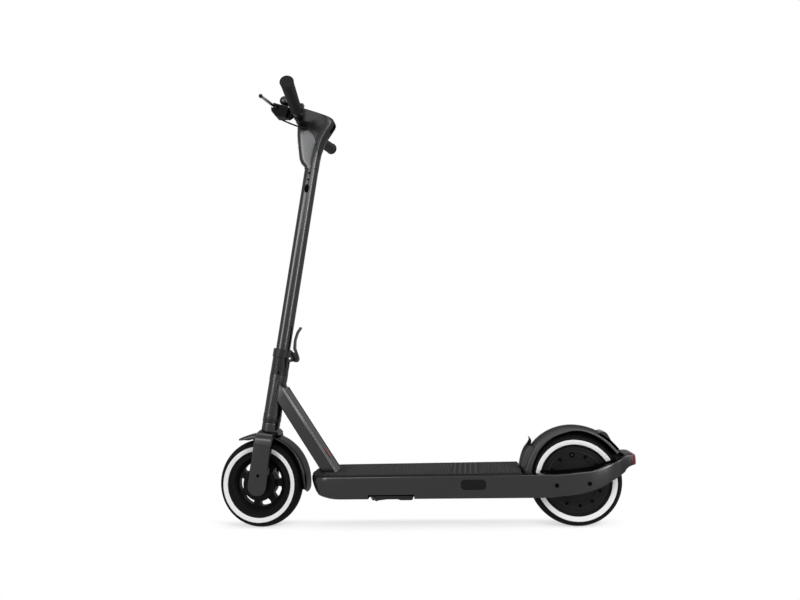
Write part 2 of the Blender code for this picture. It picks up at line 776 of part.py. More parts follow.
def build_rear_fender(root, mats):
    """Rear fender with its foot on the deck, the hook that holds the folded stem, and the wedge."""
    centre = (WHEELBASE, TYRE_RADIUS)
    radius = REAR_FENDER_RADIUS
    drops = [(0.0, 0.0290), (0.12, 0.0237), (0.28, 0.0168), (0.42, 0.0130), (0.62, 0.0117),
             (0.70, 0.0107), (0.87, 0.0157), (1.0, 0.0145)]
    fender = add("rear_fender", fender_body(centre, radius, 173, 32, 18, drops, 0.0310),
                 mats["grey"], root)
    front = [(0.7473, 0.1652), (0.7500, 0.1765), (0.7531, 0.1932), (0.7588, 0.2078),
             (0.7650, 0.2211)]
    foot = front + [(0.7812, 0.2210)] + arc(centre, 0.1370, 140.5, 163.5, 4)
    unite(fender, prism_y(foot, -0.0305, 0.0305))

    hook = [
        (0.7805, 0.2214), (0.7646, 0.2214), (0.7584, 0.2080), (0.7527, 0.1933), (0.7496, 0.1766),
        (0.7469, 0.1655), (0.7453, 0.1655), (0.7480, 0.1768), (0.7511, 0.1937), (0.7568, 0.2086),
        (0.7632, 0.2228), (0.7700, 0.2236), (0.7741, 0.2277), (0.7793, 0.2337), (0.7768, 0.2395),
        (0.7785, 0.2425), (0.7817, 0.2384), (0.7849, 0.2302), (0.7820, 0.2240),
    ]
    add("fender_hook", prism_y(hook, -0.0050, 0.0050), mats["black"], root)

    wedge = [(1.0088, 0.2057), (0.9812, 0.2553), (0.9796, 0.2574), (0.9718, 0.2584),
             (0.9647, 0.2575), (0.9596, 0.2518)]
    wedge += arc(centre, 0.1385, 62, 35.8, 5)
    holder = add("plate_holder", prism_y(wedge, -0.0345, 0.0345), mats["grey"], root)
    below = [
        (0.0900, -0.0323), (radius - 0.0066, -0.0323), (radius - 0.0020, -0.0252),
        (radius + 0.0005, -0.0128), (radius + 0.0005, 0.0128), (radius - 0.0020, 0.0252),
        (radius - 0.0066, 0.0323), (0.0900, 0.0323),
    ]
    cut(holder, turn_y(below, 90, REAR_AXLE))


def build_tail(root, mats):
    """Tail housing between the side covers, and the red lamp lens."""
    rings = []
    stations = [
        (1.0083, 0.1413, 0.1838, 0.0515), (1.0200, 0.1480, 0.1888, 0.0460),
        (1.0255, 0.1550, 0.1922, 0.0430), (1.0340, 0.1605, 0.1945, 0.0400),
        (1.0445, 0.1642, 0.1948, 0.0368),
    ]
    for x, low, high, half in stations:
        edge = 0.0060
        outline = rounded([
            (-half, low, edge), (half, low, edge), (half, high, edge), (-half, high, edge),
        ], 2)
        rings.append([(x, y, z) for y, z in outline])
    tail = add("tail_housing", loft(rings), mats["grey"], root)
    wheel = ((WHEELBASE, -0.0350, TYRE_RADIUS), (WHEELBASE, 0.0350, TYRE_RADIUS))
    cut(tail, rod(wheel[0], wheel[1], REAR_FENDER_RADIUS + 0.0008, 72))
    cut(tail, tail_plug(0.0, 1.0420, 1.0600))
    rings = []
    for x, shrink in ((1.0448, 0.0), (1.0495, 0.0004), (OVERALL_REAR, 0.0026)):
        outline = rounded([
            (-0.0366 + shrink, 0.1645 + shrink, 0.0055), (0.0366 - shrink, 0.1645 + shrink, 0.0055),
            (0.0366 - shrink, 0.1945 - shrink, 0.0055), (-0.0366 + shrink, 0.1945 - shrink, 0.0055),
        ], 2)
        rings.append([(x, y, z) for y, z in outline])
    lens = add("tail_lens", loft(rings), mats["red_lens"], root)
    unite(lens, tail_plug(GAP, 1.0424, 1.0470))


def tail_plug(gap, start, end):
    """Block behind the tail lens that fits a recess of the tail housing."""
    outline = rounded([
        (-0.0250 + gap, 0.1710 + gap, 0.003), (0.0250 - gap, 0.1710 + gap, 0.003),
        (0.0250 - gap, 0.1885 - gap, 0.003), (-0.0250 + gap, 0.1885 - gap, 0.003),
    ], 1)
    return loft([[(x, y, z) for y, z in outline] for x in (start, end)])


def build_kickstand(root, mats):
    """Side stand folded back under the left edge of the deck, and the bracket that holds it."""
    pivot = Vector(STAND_PIVOT)
    axis = Vector(STAND_AXIS)
    plate = rounded([
        (0.3420, -0.0640, 0.002), (0.3640, -0.0640, 0.002), (0.3780, -0.0300, 0.003),
        (0.3300, -0.0300, 0.003),
    ], 2)
    high = DECK_BOTTOM - GAP
    body = add("kickstand_bracket", prism_z(plate, high - 0.0067, high), mats["black"], root)
    unite(body, rod(pivot + axis * 0.0050, pivot + axis * 0.0150, 0.0062, 14))
    unite(body, rod(pivot - axis * 0.0040, pivot + axis * 0.0080, 0.0030, 12))

    leg = rounded([
        (0.3530, 0.0915, 0), (0.3640, 0.0915, 0.004), (0.3850, 0.0940, 0.004),
        (0.4150, 0.0940, 0.004), (0.4230, 0.0915, 0.003), (0.4570, 0.0915, 0.005),
        (0.4570, 0.1020, 0.003), (0.3640, 0.1030, 0.004), (0.3530, 0.1030, 0),
    ], 2)
    stand = add("kickstand", prism_y(leg, -0.0830, -0.0730), mats["black"], root, pivot=pivot)
    unite(stand, rod(pivot - axis * 0.0075, pivot + axis * 0.0045, 0.0062, 14))
    cut(stand, rod(pivot - axis * 0.0200, pivot + axis * 0.0200, 0.0034, 12))


# Fork

def crown_section():
    """Half outline (y, z) of the fork crown, an arch with rounded shoulders."""
    w = FORK_HALF_WIDTH
    return rounded([
        (-w, 0.1160, 0), (-w, CROWN_HIGH, 0.031), (w, CROWN_HIGH, 0.031), (w, 0.1160, 0),
        (0.0345, 0.1160, 0), (0.0345, 0.1468, 0.008), (-0.0345, 0.1468, 0.008),
        (-0.0345, 0.1160, 0),
    ], 5)


def build_fork(steering, mats):
    """Steerer, crown and two inner legs in one piece, with the blades that cover the legs."""
    rings = []
    for x, shrink in ((-0.0258, 0.0035), (-0.0222, 0.0), (0.0240, 0.0), (0.0276, 0.0035)):
        ring = []
        for y, z in crown_section():
            if abs(y) > 0.0346 or z > 0.1469:
                y = y * (1 - shrink / FORK_HALF_WIDTH)
                z = z - shrink * (z - 0.1160) / (CROWN_HIGH - 0.1160)
            ring.append((x, y, z))
        rings.append(ring)
    fork = add("fork", loft(rings), mats["grey"], steering)
    neck = [
        (0.0262, 0.1482), (0.0262, 0.1745), (0.0250, CROWN_SEAT), (STEERER_RADIUS, CROWN_SEAT),
        (STEERER_RADIUS, STEERER_TOP),
    ]
    unite(fork, stack_z(neck, TUBE_STEPS))
    for side in (-1, 1):
        leg = [
            (-0.0180, 0.1300), (-0.0180, -0.0080), (-0.0100, -0.0185), (0.0100, -0.0185),
            (0.0180, -0.0080), (0.0180, 0.1300),
        ]
        depth = sorted((side * 0.0345, side * 0.0423))
        unite(fork, prism_y(leg, depth[0], depth[1]))
    slot = arc((0, 0), 0.0054, 0, 180, 6) + [(-0.0054, -0.03), (0.0054, -0.03)]
    cut(fork, prism_y(slot, -0.06, 0.06))

    for name, side in (("fork_cover_left", -1), ("fork_cover_right", 1)):
        cover = add(name, fork_cover_body(side), mats["grey"], steering)
        cut(cover, rod((0.0035, side * 0.0520, 0.0310), (0.0035, side * 0.0600, 0.0310), 0.0032, 10))
        cut(cover, rod((0, side * 0.0400, 0), (0, side * 0.0500, 0), 0.0110, 12))


def fork_cover_body(side):
    """Blade over a fork leg: parallel edges, round foot, and a face bevelled along its rim."""
    high = 0.1157
    r = COVER_RADIUS
    rings = []
    steps = ((COVER_INNER, 0.0), (0.0500, 0.0), (0.0530, 0.0022), (FORK_HALF_WIDTH, 0.0060))
    for y, inset in steps:
        radius = r - inset
        foot = arc((COVER_BACK, 0), radius, 180, 360, 10)
        outline = [(inset - 0.0255, high)] + foot + [(0.0285 - inset, high)]
        rings.append([(x, side * y, z) for x, z in outline])
    return loft(rings)


def build_front_fender(steering, mats):
    """Front fender, bolted up under the crown."""
    drops = [(0.0, 0.0040), (0.028, 0.0082), (0.10, 0.0147), (0.17, 0.0137), (0.20, 0.0127),
             (0.40, 0.0047), (0.62, 0.0047), (0.70, 0.0067), (0.79, 0.0082), (0.87, 0.0082),
             (0.92, 0.0067), (1.0, 0.0050)]
    fender = add("front_fender",
                 fender_body((0, 0), FENDER_RADIUS, 127, -0.6, 20, drops, 0.0300),
                 mats["grey"], steering)
    unite(fender, box((-0.0130, -0.0120, 0.1418), (0.0130, 0.0120, 0.1463)))


def build_front_axle(steering, mats):
    """Axle with its nuts, and the drum brake's back plate on the right."""
    axle = add("front_axle", rod((0, -0.0495, 0), (0, 0.0495, 0), 0.0050, 16), mats["steel"],
               steering)
    for side in (-1, 1):
        unite(axle, rod((0, side * 0.0427, 0), (0, side * 0.0485, 0), 0.0095, 6))
    plate = [
        (0.0054, 0.0252), (0.0310, 0.0252), (0.0335, 0.0275), (0.0335, 0.0300), (0.0160, 0.0338),
        (0.0054, 0.0341),
    ]
    brake = add("brake_plate", turn_y(plate, TUBE_STEPS), mats["aluminium"], steering)
    arm = rounded([
        (0.0100, 0.0160, 0.004), (0.0420, 0.0210, 0.003), (0.0420, 0.0290, 0.003),
        (0.0080, 0.0260, 0.004),
    ], 2)
    unite(brake, prism_y(arm, 0.0285, 0.0330))


# Folding joint

def split_angle(height, radius):
    """Angle (degrees) at which a circle round the fold axis reaches a height."""
    drop = FOLD_PIVOT[2] - height
    return 180 + asin_degrees(drop / radius)


def split_line(gap):
    """Stepped joint face (x, z) from rear to front; its middle is an arc round the fold axis."""
    px, _, pz = FOLD_PIVOT
    radius = SPLIT_RADIUS - gap
    face = arc((px, pz), radius, split_angle(SPLIT_REAR + gap, radius),
               split_angle(SPLIT_FRONT + gap, radius), 3)
    return [(0.04, SPLIT_REAR + gap)] + face + [(-0.04, SPLIT_FRONT + gap)]


def build_fold_base(steering, mats):
    """Lower half of the folding joint: clamped on the steerer, with two tongues up to the pin."""
    r = FOLD_RADIUS
    px, _, pz = FOLD_PIVOT
    body = [(r + 0.0005, 0.3203), (r + 0.0005, 0.3240), (r, 0.3250), (r, 0.3600)]
    base = add("fold_base", stack_z(body, TUBE_STEPS), mats["black"], steering)
    keep_inside(base, prism_y([(-0.04, 0.31), (0.04, 0.31)] + split_line(0.0), -0.04, 0.04))
    cut(base, rod((0, 0, 0.30), (0, 0, STEERER_TOP + GAP), STEERER_RADIUS + GAP, TUBE_STEPS))
    tongue = [(0.0085, 0.3300), (0.0240, 0.3300), (0.0240, 0.3600)]
    tongue += arc((px, pz), 0.0066, -62, 165, 8) + [(0.0095, 0.3400)]
    for side in (-1, 1):
        depth = sorted((side * TONGUE[0], side * TONGUE[1]))
        unite(base, prism_y(tongue, depth[0], depth[1]))
    cut(base, rod((px, -0.03, pz), (px, 0.03, pz), PIN_BORE, 14))
    cut(base, rod((LATCH_X, 0, 0.3425), (LATCH_X, 0, 0.36), 0.0048, 14))
    add("fold_pin", rod((px, -0.0147, pz), (px, 0.0147, pz), PIN_RADIUS, 14), mats["steel"],
        steering)


def build_fold_block(steering, mats):
    """Upper half of the folding joint: collar for the stem, latch chamber, two hinge cheeks."""
    r = FOLD_RADIUS
    px, _, pz = FOLD_PIVOT
    body = [
        (r, 0.3300), (r, 0.3700), (r + 0.0018, 0.3720), (r + 0.0018, 0.3945),
        (r + 0.0006, BLOCK_HIGH),
    ]
    block = add("fold_block", stack_z(body, TUBE_STEPS), mats["black"], steering,
                pivot=FOLD_PIVOT)
    keep_inside(block, prism_y(split_line(GAP) + [(-0.04, 0.41), (0.04, 0.41)], -0.04, 0.04))
    cheek = arc((px, pz), 0.0095, -72, 62, 7)
    cheek += [(0.0270, 0.3925), (0.0150, 0.3935), (0.0150, 0.3600), (0.0245, 0.3600)]
    for side in (-1, 1):
        depth = sorted((side * CHEEK[0], side * CHEEK[1]))
        unite(block, prism_y(cheek, depth[0], depth[1]))
    slot = [(0.0078, 0.3250), (0.0086, 0.3400), (0.0224, 0.3742), (0.0238, 0.3794),
            (0.0600, 0.3794), (0.0600, 0.3250)]
    cut(block, prism_y(slot, -CHEEK[0], CHEEK[0]))
    cavity = [(0.0165, 0.3555), (0.0165, 0.3785), (0.0216, 0.3785), (0.0216, 0.42)]
    cut(block, stack_z(cavity, TUBE_STEPS))
    cut(block, rod((LATCH_X, 0, 0.34), (LATCH_X, 0, 0.36), 0.0044, 14))
    cut(block, box((0.0, -0.0042, 0.3560), (0.0400, 0.0042, 0.3812)))
    cut(block, rod((px, -0.03, pz), (px, 0.03, pz), PIN_BORE, 14))


def build_latch(steering, mats):
    """Tapered latch bolt between the two halves, and the lever whose nose lifts it."""
    z = 0.3440
    bolt = [
        (0.0022, z), (0.0040, z + 0.0035), (0.0040, 0.3575), (0.0058, 0.3575), (0.0058, 0.3600),
        (0.0028, 0.3600), (0.0028, 0.3662), (0.0058, 0.3662), (0.0058, 0.3690),
    ]
    add("latch_bolt", stack_z(bolt, 12, (LATCH_X, 0)), mats["steel"], steering,
        pivot=(LATCH_X, 0, z))

    px, _, pz = FOLD_PIVOT
    nose = arc((px, pz), 0.0064, -140, 160, 12)
    nose += [(0.0100, 0.3700), (-0.0040, 0.3655), (-0.0055, 0.3631), (-0.0040, 0.3608),
             (0.0100, 0.3640)]
    lever = add("fold_lever", prism_y(nose, -0.0038, 0.0038), mats["black"], steering,
                pivot=FOLD_PIVOT)
    root = rounded([
        (0.0330, 0.3660, 0), (0.0440, 0.3625, 0.002), (0.0520, 0.3640, 0.004),
        (0.0555, 0.3725, 0.006), (0.0515, 0.3820, 0.006), (0.0420, 0.3990, 0),
        (0.0345, 0.3990, 0), (0.0400, 0.3860, 0.003), (0.0330, 0.3780, 0),
    ], 3)
    unite(lever, prism_y(root, -0.0038, 0.0038))
    handle = rounded([
        (0.0425, 0.3960, 0.001), (0.0385, 0.4040, 0.012), (0.0355, 0.4270, 0.030),
        (0.0392, 0.4500, 0.030), (0.0475, 0.4665, 0.001), (0.0430, 0.4695, 0.001),
        (0.0345, 0.4520, 0.030), (0.0306, 0.4280, 0.030), (0.0325, 0.4030, 0.012),
        (0.0352, 0.3960, 0.001),
    ], 3)
    unite(lever, prism_y(handle, -0.0068, 0.0068))
    cut(lever, rod((px, -0.02, pz), (px, 0.02, pz), PIN_BORE, 12))


# Stem and head

def build_stem(steering, mats):
    """Stem tube, open at both ends."""
    wall = [
        (STEM_BORE, STEM_LOW), (STEM_RADIUS, STEM_LOW), (STEM_RADIUS, STEM_HIGH),
        (STEM_BORE, STEM_HIGH),
    ]
    stem = add("stem_tube", turn_z(wall, TUBE_STEPS), mats["grey"], steering, pivot=FOLD_PIVOT)
    for z in (0.918, 0.939):
        cut(stem, rod((0.0004, -0.03, z), (0.0004, -0.01, z), 0.0026, 7))
    cut(stem, rod((0.0004, -0.03, 0.8905), (0.0004, -0.01, 0.8905), 0.0060, 11))


def head_body():
    """Whole head: it grows out of the stem's round into a deep wedge under the display."""
    front = [(HEAD_LOW, -0.0220), (0.9610, -0.0232), (0.9660, -0.0290), (0.9710, -0.0352),
             (0.9825, -0.0418), (0.9950, -0.0443), (1.0075, -0.0480), (1.0232, -0.0510),
             (1.0390, -0.0545), (1.0546, -0.0590), (1.0705, -0.0622), (1.150, -0.0640)]
    rear = [(HEAD_LOW, 0.0217), (1.0000, 0.0212), (1.0130, 0.0214), (1.0359, 0.0253),
            (1.0457, 0.0280), (1.0621, 0.0322), (1.0788, 0.0418), (1.0888, 0.0470),
            (1.0987, 0.0512), (1.1080, 0.0528), (1.1150, 0.0490), (1.150, 0.0300)]
    half = [(HEAD_LOW, 0.0217), (1.000, 0.0235), (1.050, 0.0280), (1.090, 0.0312),
            (1.150, 0.0325)]
    levels = (HEAD_LOW, 0.9610, 0.9660, 0.9710, 0.9825, 1.0075, 1.0320, 1.0550, 1.0788, 1.0987,
              1.1080, 1.1150, 1.150)
    rings = []
    for z in levels:
        power = 2.0 + 1.8 * min(1.0, (z - HEAD_LOW) / 0.08)
        section = superellipse(smooth_value(front, z), smooth_value(rear, z),
                               smooth_value(half, z), power, 28)
        rings.append([(x, y, z) for x, y in section])
    bm = loft(rings)
    point = Vector((DISPLAY_FRONT[0], 0, DISPLAY_FRONT[1]))
    normal = display_normal()
    geometry = bm.verts[:] + bm.edges[:] + bm.faces[:]
    cut_result = bmesh.ops.bisect_plane(bm, geom=geometry, plane_co=point, plane_no=normal,
                                        clear_outer=True)
    rim = [item for item in cut_result["geom_cut"] if isinstance(item, bmesh.types.BMEdge)]
    bmesh.ops.holes_fill(bm, edges=rim, sides=0)
    return bm


def display_normal():
    """Upward normal of the sloping display face, in the steering frame."""
    dx = DISPLAY_REAR[0] - DISPLAY_FRONT[0]
    dz = DISPLAY_REAR[1] - DISPLAY_FRONT[1]
    return Vector((-dz, 0, dx)).normalized()


def seam_outline(gap):
    """Side view (x, z) of what belongs to the casting: all in front of and below the seam."""
    seam = [(-0.0900, 1.0912), (-0.0600, 1.0862), (-0.0392, 1.0805), (-0.0255, 1.0748),
            (-0.0113, 1.0664), (-0.0013, 1.0580), (0.0065, 1.0449), (0.0117, 1.0326),
            (0.0168, 1.0108), (0.0190, 0.9960), (0.0260, 0.9720)]
    path = smooth_path([(x, 0, z) for x, z in seam], 2)
    outline = [(p.x + gap * 0.5, p.z + gap * 0.85) for p in path]
    return outline + [(0.0260 + gap, 0.90), (-0.0900, 0.90)]


def display_point(along, lift):
    """Point of the display face, from its front edge, lifted along its normal."""
    front = Vector((DISPLAY_FRONT[0], 0, DISPLAY_FRONT[1]))
    rear = Vector((DISPLAY_REAR[0], 0, DISPLAY_REAR[1]))
    return front + (rear - front).normalized() * along + display_normal() * lift


def display_block(start, end, half_width, low, high, corner, steps=3):
    """Rounded block standing on the display face."""
    outline = rounded([
        (start, -half_width, corner), (end, -half_width, corner), (end, half_width, corner),
        (start, half_width, corner),
    ], steps)
    rings = []
    for lift in (low, high):
        rings.append([display_point(u, lift) + Vector((0, v, 0)) for u, v in outline])
    return loft(rings)


def build_head(steering, mats):
    """Casting on top of the stem, display housing, glass, power button and head lamp lens."""
    casting = add("head_casting", head_body(), mats["grey"], steering, pivot=FOLD_PIVOT)
    keep_inside(casting, prism_y(seam_outline(0.0), -0.06, 0.06))
    unite(casting, rod((0, 0, 0.905), (0, 0, 0.960), STEM_BORE - GAP, TUBE_STEPS))
    bar_hole = rod((BAR_MIDDLE[0], -0.06, BAR_MIDDLE[2]), (BAR_MIDDLE[0], 0.06, BAR_MIDDLE[2]),
                   BAR_BORE, 18)
    cut(casting, bar_hole.copy())
    cut(casting, lamp_block(GAP, 0.0028))
    cut(casting, rod((-0.0300, -0.05, 1.0720), (-0.0300, -0.0225, 1.0720), 0.0031, 10))

    housing = add("display_housing", head_body(), mats["black_paint"], steering, pivot=FOLD_PIVOT)
    cut(housing, prism_y(seam_outline(GAP), -0.06, 0.06))
    cut(housing, bar_hole)
    cut(housing, display_block(0.0130, 0.0710, 0.0235, -0.0020, 0.02, 0.006))
    cut(housing, rod(display_point(0.0810, -0.0042), display_point(0.0810, 0.02), 0.0062, 16))
    cut(housing, box((0.0335, -0.0080, 1.0785), (0.0700, 0.0080, 1.1065)))

    add("display_glass", display_block(0.0133, 0.0707, 0.0232, -0.0017, 0.0002, 0.0057),
        mats["glass"], steering, pivot=FOLD_PIVOT)
    add("power_button", rod(display_point(0.0810, -0.0024), display_point(0.0810, 0.0012),
                            0.0056, 16), mats["rubber"], steering,
        pivot=display_point(0.0810, 0.0))
    add("headlight_lens", lamp_block(0.0, 0.0025), mats["clear"], steering, pivot=FOLD_PIVOT)


def lamp_block(grow, depth):
    """Round-cornered head lamp lens set into the front of the casting."""
    middle = Vector((-0.0536, 0, 1.0330))
    up = Vector((-0.0110, 0, 0.0470)).normalized()
    out = Vector((-up.z, 0, up.x))
    outline = rounded([
        (-0.0160 - grow, -0.0105 - grow, 0.009), (0.0160 + grow, -0.0105 - grow, 0.009),
        (0.0160 + grow, 0.0105 + grow, 0.009), (-0.0160 - grow, 0.0105 + grow, 0.009),
    ], 4)
    rings = []
    for lift, scale in ((-depth, 1.0), (0.0012, 1.0), (0.0024, 0.82)):
        rings.append([middle + up * (u * scale) + out * lift + Vector((0, v * scale, 0))
                      for u, v in outline])
    return loft(rings)


# Handlebar and controls

def build_handlebar(steering, mats):
    """Bar with swept ends, and a closed-end grip on each side."""
    path = []
    for side in (1, -1):
        half = [bar_point(side, d) for d in (BAR_BEND + 0.012, BAR_BEND + 0.006)]
        half.append(Vector((BAR_MIDDLE[0], -(BAR_BEND + 0.0005) * side, BAR_MIDDLE[2] + 0.0003)))
        half.append(Vector((BAR_MIDDLE[0], -(BAR_BEND - 0.005) * side, BAR_MIDDLE[2])))
        half = [Vector((BAR_END[0], BAR_END[1] * side, BAR_END[2]))] + half
        path = path + (half if side > 0 else list(reversed(half)))
    bar = add("handlebar", tube_along(path, [BAR_RADIUS] * len(path), 18), mats["black"], steering,
              pivot=FOLD_PIVOT)
    for side in (1, -1):
        sleeve = [(0.0122, 0.0430), (0.0129, 0.0438), (0.0129, 0.0652), (0.0122, 0.0660)]
        unite(bar, along_bar(stack_y([(r, -y * side) for r, y in sleeve], 18), side))
    grip = [
        (0.0180, GRIP_END), (0.0198, GRIP_END - 0.0025), (0.0186, GRIP_END - 0.0080),
        (GRIP_RADIUS + 0.0006, 0.1800), (GRIP_RADIUS - 0.0004, GRIP_START + 0.0060),
        (GRIP_RADIUS + 0.0008, GRIP_START + 0.0050), (GRIP_RADIUS + 0.0008, GRIP_START),
        (BAR_BORE, GRIP_START), (BAR_BORE, GRIP_END - 0.0018),
    ]
    for name, side in (("grip_left", 1), ("grip_right", -1)):
        body = along_bar(stack_y([(r, -y * side) for r, y in grip], 20), side)
        add(name, body, mats["rubber"], steering, pivot=FOLD_PIVOT)


# The brake and the bell are drawn in a frame on the bar's axis, tipped up at its front
BRAKE_ORIGIN = (-0.0408, 0.0, 1.0940)
BRAKE_TILT = radians(12)
LEVER_HINGE = (-0.0690, -0.0925, -0.0018)
PERCH_TOP = 0.0080


def build_brake(steering, mats):
    """Left brake: perch clamped on the bar, lever with a ball end, bell, and the visible cable."""
    brake = make_empty("brake_frame", BRAKE_ORIGIN, (0, BRAKE_TILT, 0), steering)
    clamp = along_bar(turn_y([(BAR_BORE, -0.0890), (0.0150, -0.0890), (0.0150, -0.0700),
                              (BAR_BORE, -0.0700)], 20), 1)
    perch = add("brake_perch", clamp, mats["black"], steering, pivot=FOLD_PIVOT)
    neck = rounded([
        (-0.0127, PERCH_TOP - 0.0007, 0), (-0.0127, -0.0120, 0), (-0.0200, -0.0212, 0.004),
        (-0.0350, -0.0236, 0), (-0.0350, PERCH_TOP - 0.0007, 0),
    ], 2)
    unite(perch, prism_y(neck, -0.0880, -0.0738), brake)
    body = rounded([
        (-0.0260, PERCH_TOP, 0), (-0.0260, -0.0225, 0.002), (-0.0526, -0.0310, 0.010),
        (-0.0735, -0.0190, 0.010), (-0.0810, -0.0040, 0.006), (-0.0760, PERCH_TOP, 0.006),
    ], 3)
    unite(perch, prism_y(body, -0.1000, -0.0745), brake)
    hx, hy, hz = LEVER_HINGE
    cut(perch, box((-0.1000, -0.1200, hz - 0.0052), (-0.0560, -0.0840, hz + 0.0038)), brake)
    unite(perch, rod((hx, hy, hz - 0.0072), (hx, hy, hz + 0.0060), 0.0028, 12), brake)
    unite(perch, rod((-0.0600, -0.0760, -0.0178), (-0.0620, -0.0640, -0.0195), 0.0044, 12, 0.0036),
          brake)

    tip = Vector((-0.0713, -0.1900, -0.0161))
    root = Vector((hx - 0.0020, hy - 0.0030, hz))
    blade = [root.lerp(tip, k) for k in (0, 0.12, 0.30, 0.60, 0.85, 0.97)]
    radii = [0.0030, 0.0033, 0.0042, 0.0044, 0.0040, 0.0034]
    lever = add("brake_lever", tube_along(blade, radii, 10), mats["black"], brake,
                pivot=LEVER_HINGE)
    unite(lever, turn_z([(0.0034, hz - 0.0034), (0.0062, hz - 0.0034), (0.0062, hz + 0.0034),
                         (0.0034, hz + 0.0034)], 14, (hx, hy)))
    cut(lever, rod((hx, hy, hz - 0.02), (hx, hy, hz + 0.02), 0.0034, 12))
    unite(lever, ball(tip, 0.0060, 10))

    build_bell(brake, mats)
    route = [(-0.1058, -0.0628, 1.0878), (-0.1035, -0.0570, 1.0868), (-0.0840, -0.0500, 1.0815),
             (-0.0640, -0.0460, 1.0768), (-0.0480, -0.0440, 1.0733), (-0.0360, -0.0420, 1.0722),
             (-0.0305, -0.0370, 1.0720), (-0.0300, -0.0320, 1.0720), (-0.0300, -0.0245, 1.0720)]
    path = smooth_path(route, 2)
    add("brake_cable", tube_along(path, [0.0025] * len(path), 8), mats["rubber"], steering,
        pivot=FOLD_PIVOT)


def ball(centre, radius, steps):
    """Faceted sphere."""
    bm = bmesh.new()
    bmesh.ops.create_uvsphere(bm, u_segments=steps, v_segments=steps // 2 + 1, radius=radius)
    bmesh.ops.translate(bm, verts=bm.verts, vec=centre)
    return bm


BELL_CENTRE = (-0.0500, -0.0850)
STRIKER_HINGE = (-0.0270, -0.0810)


def build_bell(brake, mats):
    """Bell dome standing on the perch, with the sprung striker beside it."""
    z = PERCH_TOP + GAP
    dome = [
        (0.0040, z), (0.0040, z + 0.0060), (0.0110, z + 0.0066), (0.0158, z + 0.0110),
        (0.0172, z + 0.0170), (0.0160, z + 0.0240), (0.0115, z + 0.0295), (0.0045, z + 0.0322),
    ]
    add("bell_dome", stack_z(dome, 20, BELL_CENTRE), mats["dark_metal"], brake,
        pivot=(BELL_CENTRE[0], BELL_CENTRE[1], z))
    hx, hy = STRIKER_HINGE
    thumb = rounded([
        (hx - 0.0025, hy - 0.0030, 0.001), (hx + 0.0040, hy - 0.0030, 0.001),
        (hx + 0.0040, hy + 0.0030, 0.001), (hx - 0.0025, hy + 0.0030, 0.001),
    ], 1)
    striker = add("bell_striker", prism_z(thumb, z + 0.0003, z + 0.0030), mats["black"], brake,
                  pivot=(hx, hy, z))
    unite(striker, box((hx + 0.0008, hy - 0.0030, z + 0.0015),
                       (hx + 0.0035, hy + 0.0030, z + 0.0150)))


def build_throttle(steering, mats):
    """Right thumb throttle: a ring housing on the bar and the paddle that turns in it."""
    ring = along_bar(turn_y([(BAR_BORE, 0.0740), (0.0172, 0.0740), (0.0178, 0.0760),
                             (0.0178, 0.0880), (BAR_BORE, 0.0880)], 20), -1)
    add("throttle_housing", ring, mats["black"], steering, pivot=FOLD_PIVOT)
    hub = along_bar(turn_y([(BAR_BORE + 0.0002, 0.0884), (0.0172, 0.0884), (0.0172, 0.0970),
                            (BAR_BORE + 0.0002, 0.0970)], 20), -1)
    pivot = bar_point(-1, 0.0927)
    paddle = add("throttle_paddle", hub, mats["rubber"], steering, pivot=pivot)
    x = pivot.x
    z = pivot.z
    outline = rounded([
        (x + 0.0120, z - 0.0110, 0), (x + 0.0240, z - 0.0150, 0.004),
        (x + 0.0350, z - 0.0125, 0.0015), (x + 0.0355, z - 0.0080, 0.0015),
        (x + 0.0250, z - 0.0095, 0.004), (x + 0.0135, z - 0.0030, 0),
    ], 2)
    unite(paddle, prism_y(outline, pivot.y - 0.0035, pivot.y + 0.0100))


def build_switch(steering, mats):
    """Small switch pod on the left of the bar, with one push button."""
    clamp = along_bar(turn_y([(BAR_BORE, -0.1100), (0.0152, -0.1100), (0.0152, -0.0930),
                              (BAR_BORE, -0.0930)], 20), 1)
    pod = add("switch_pod", clamp, mats["black"], steering, pivot=FOLD_PIVOT)
    c = bar_point(1, 0.1005)
    unite(pod, box((c.x + 0.0040, c.y - 0.0075, c.z - 0.0080),
                   (c.x + 0.0185, c.y + 0.0075, c.z + 0.0225)))
    cut(pod, rod(bar_point(1, 0.0700), bar_point(1, 0.1300), BAR_BORE, 20))
    cut(pod, box((c.x + 0.0160, c.y - 0.0050, c.z - 0.0020),
                 (c.x + 0.0300, c.y + 0.0050, c.z + 0.0090)))
    button = box((c.x + 0.0180, c.y - 0.0046, c.z - 0.0016),
                 (c.x + 0.0205, c.y + 0.0046, c.z + 0.0086))
    bevel(add("switch_button", button, mats["rubber"], steering,
              pivot=(c.x + 0.0180, c.y, c.z + 0.0035)), 0.0006, 1)


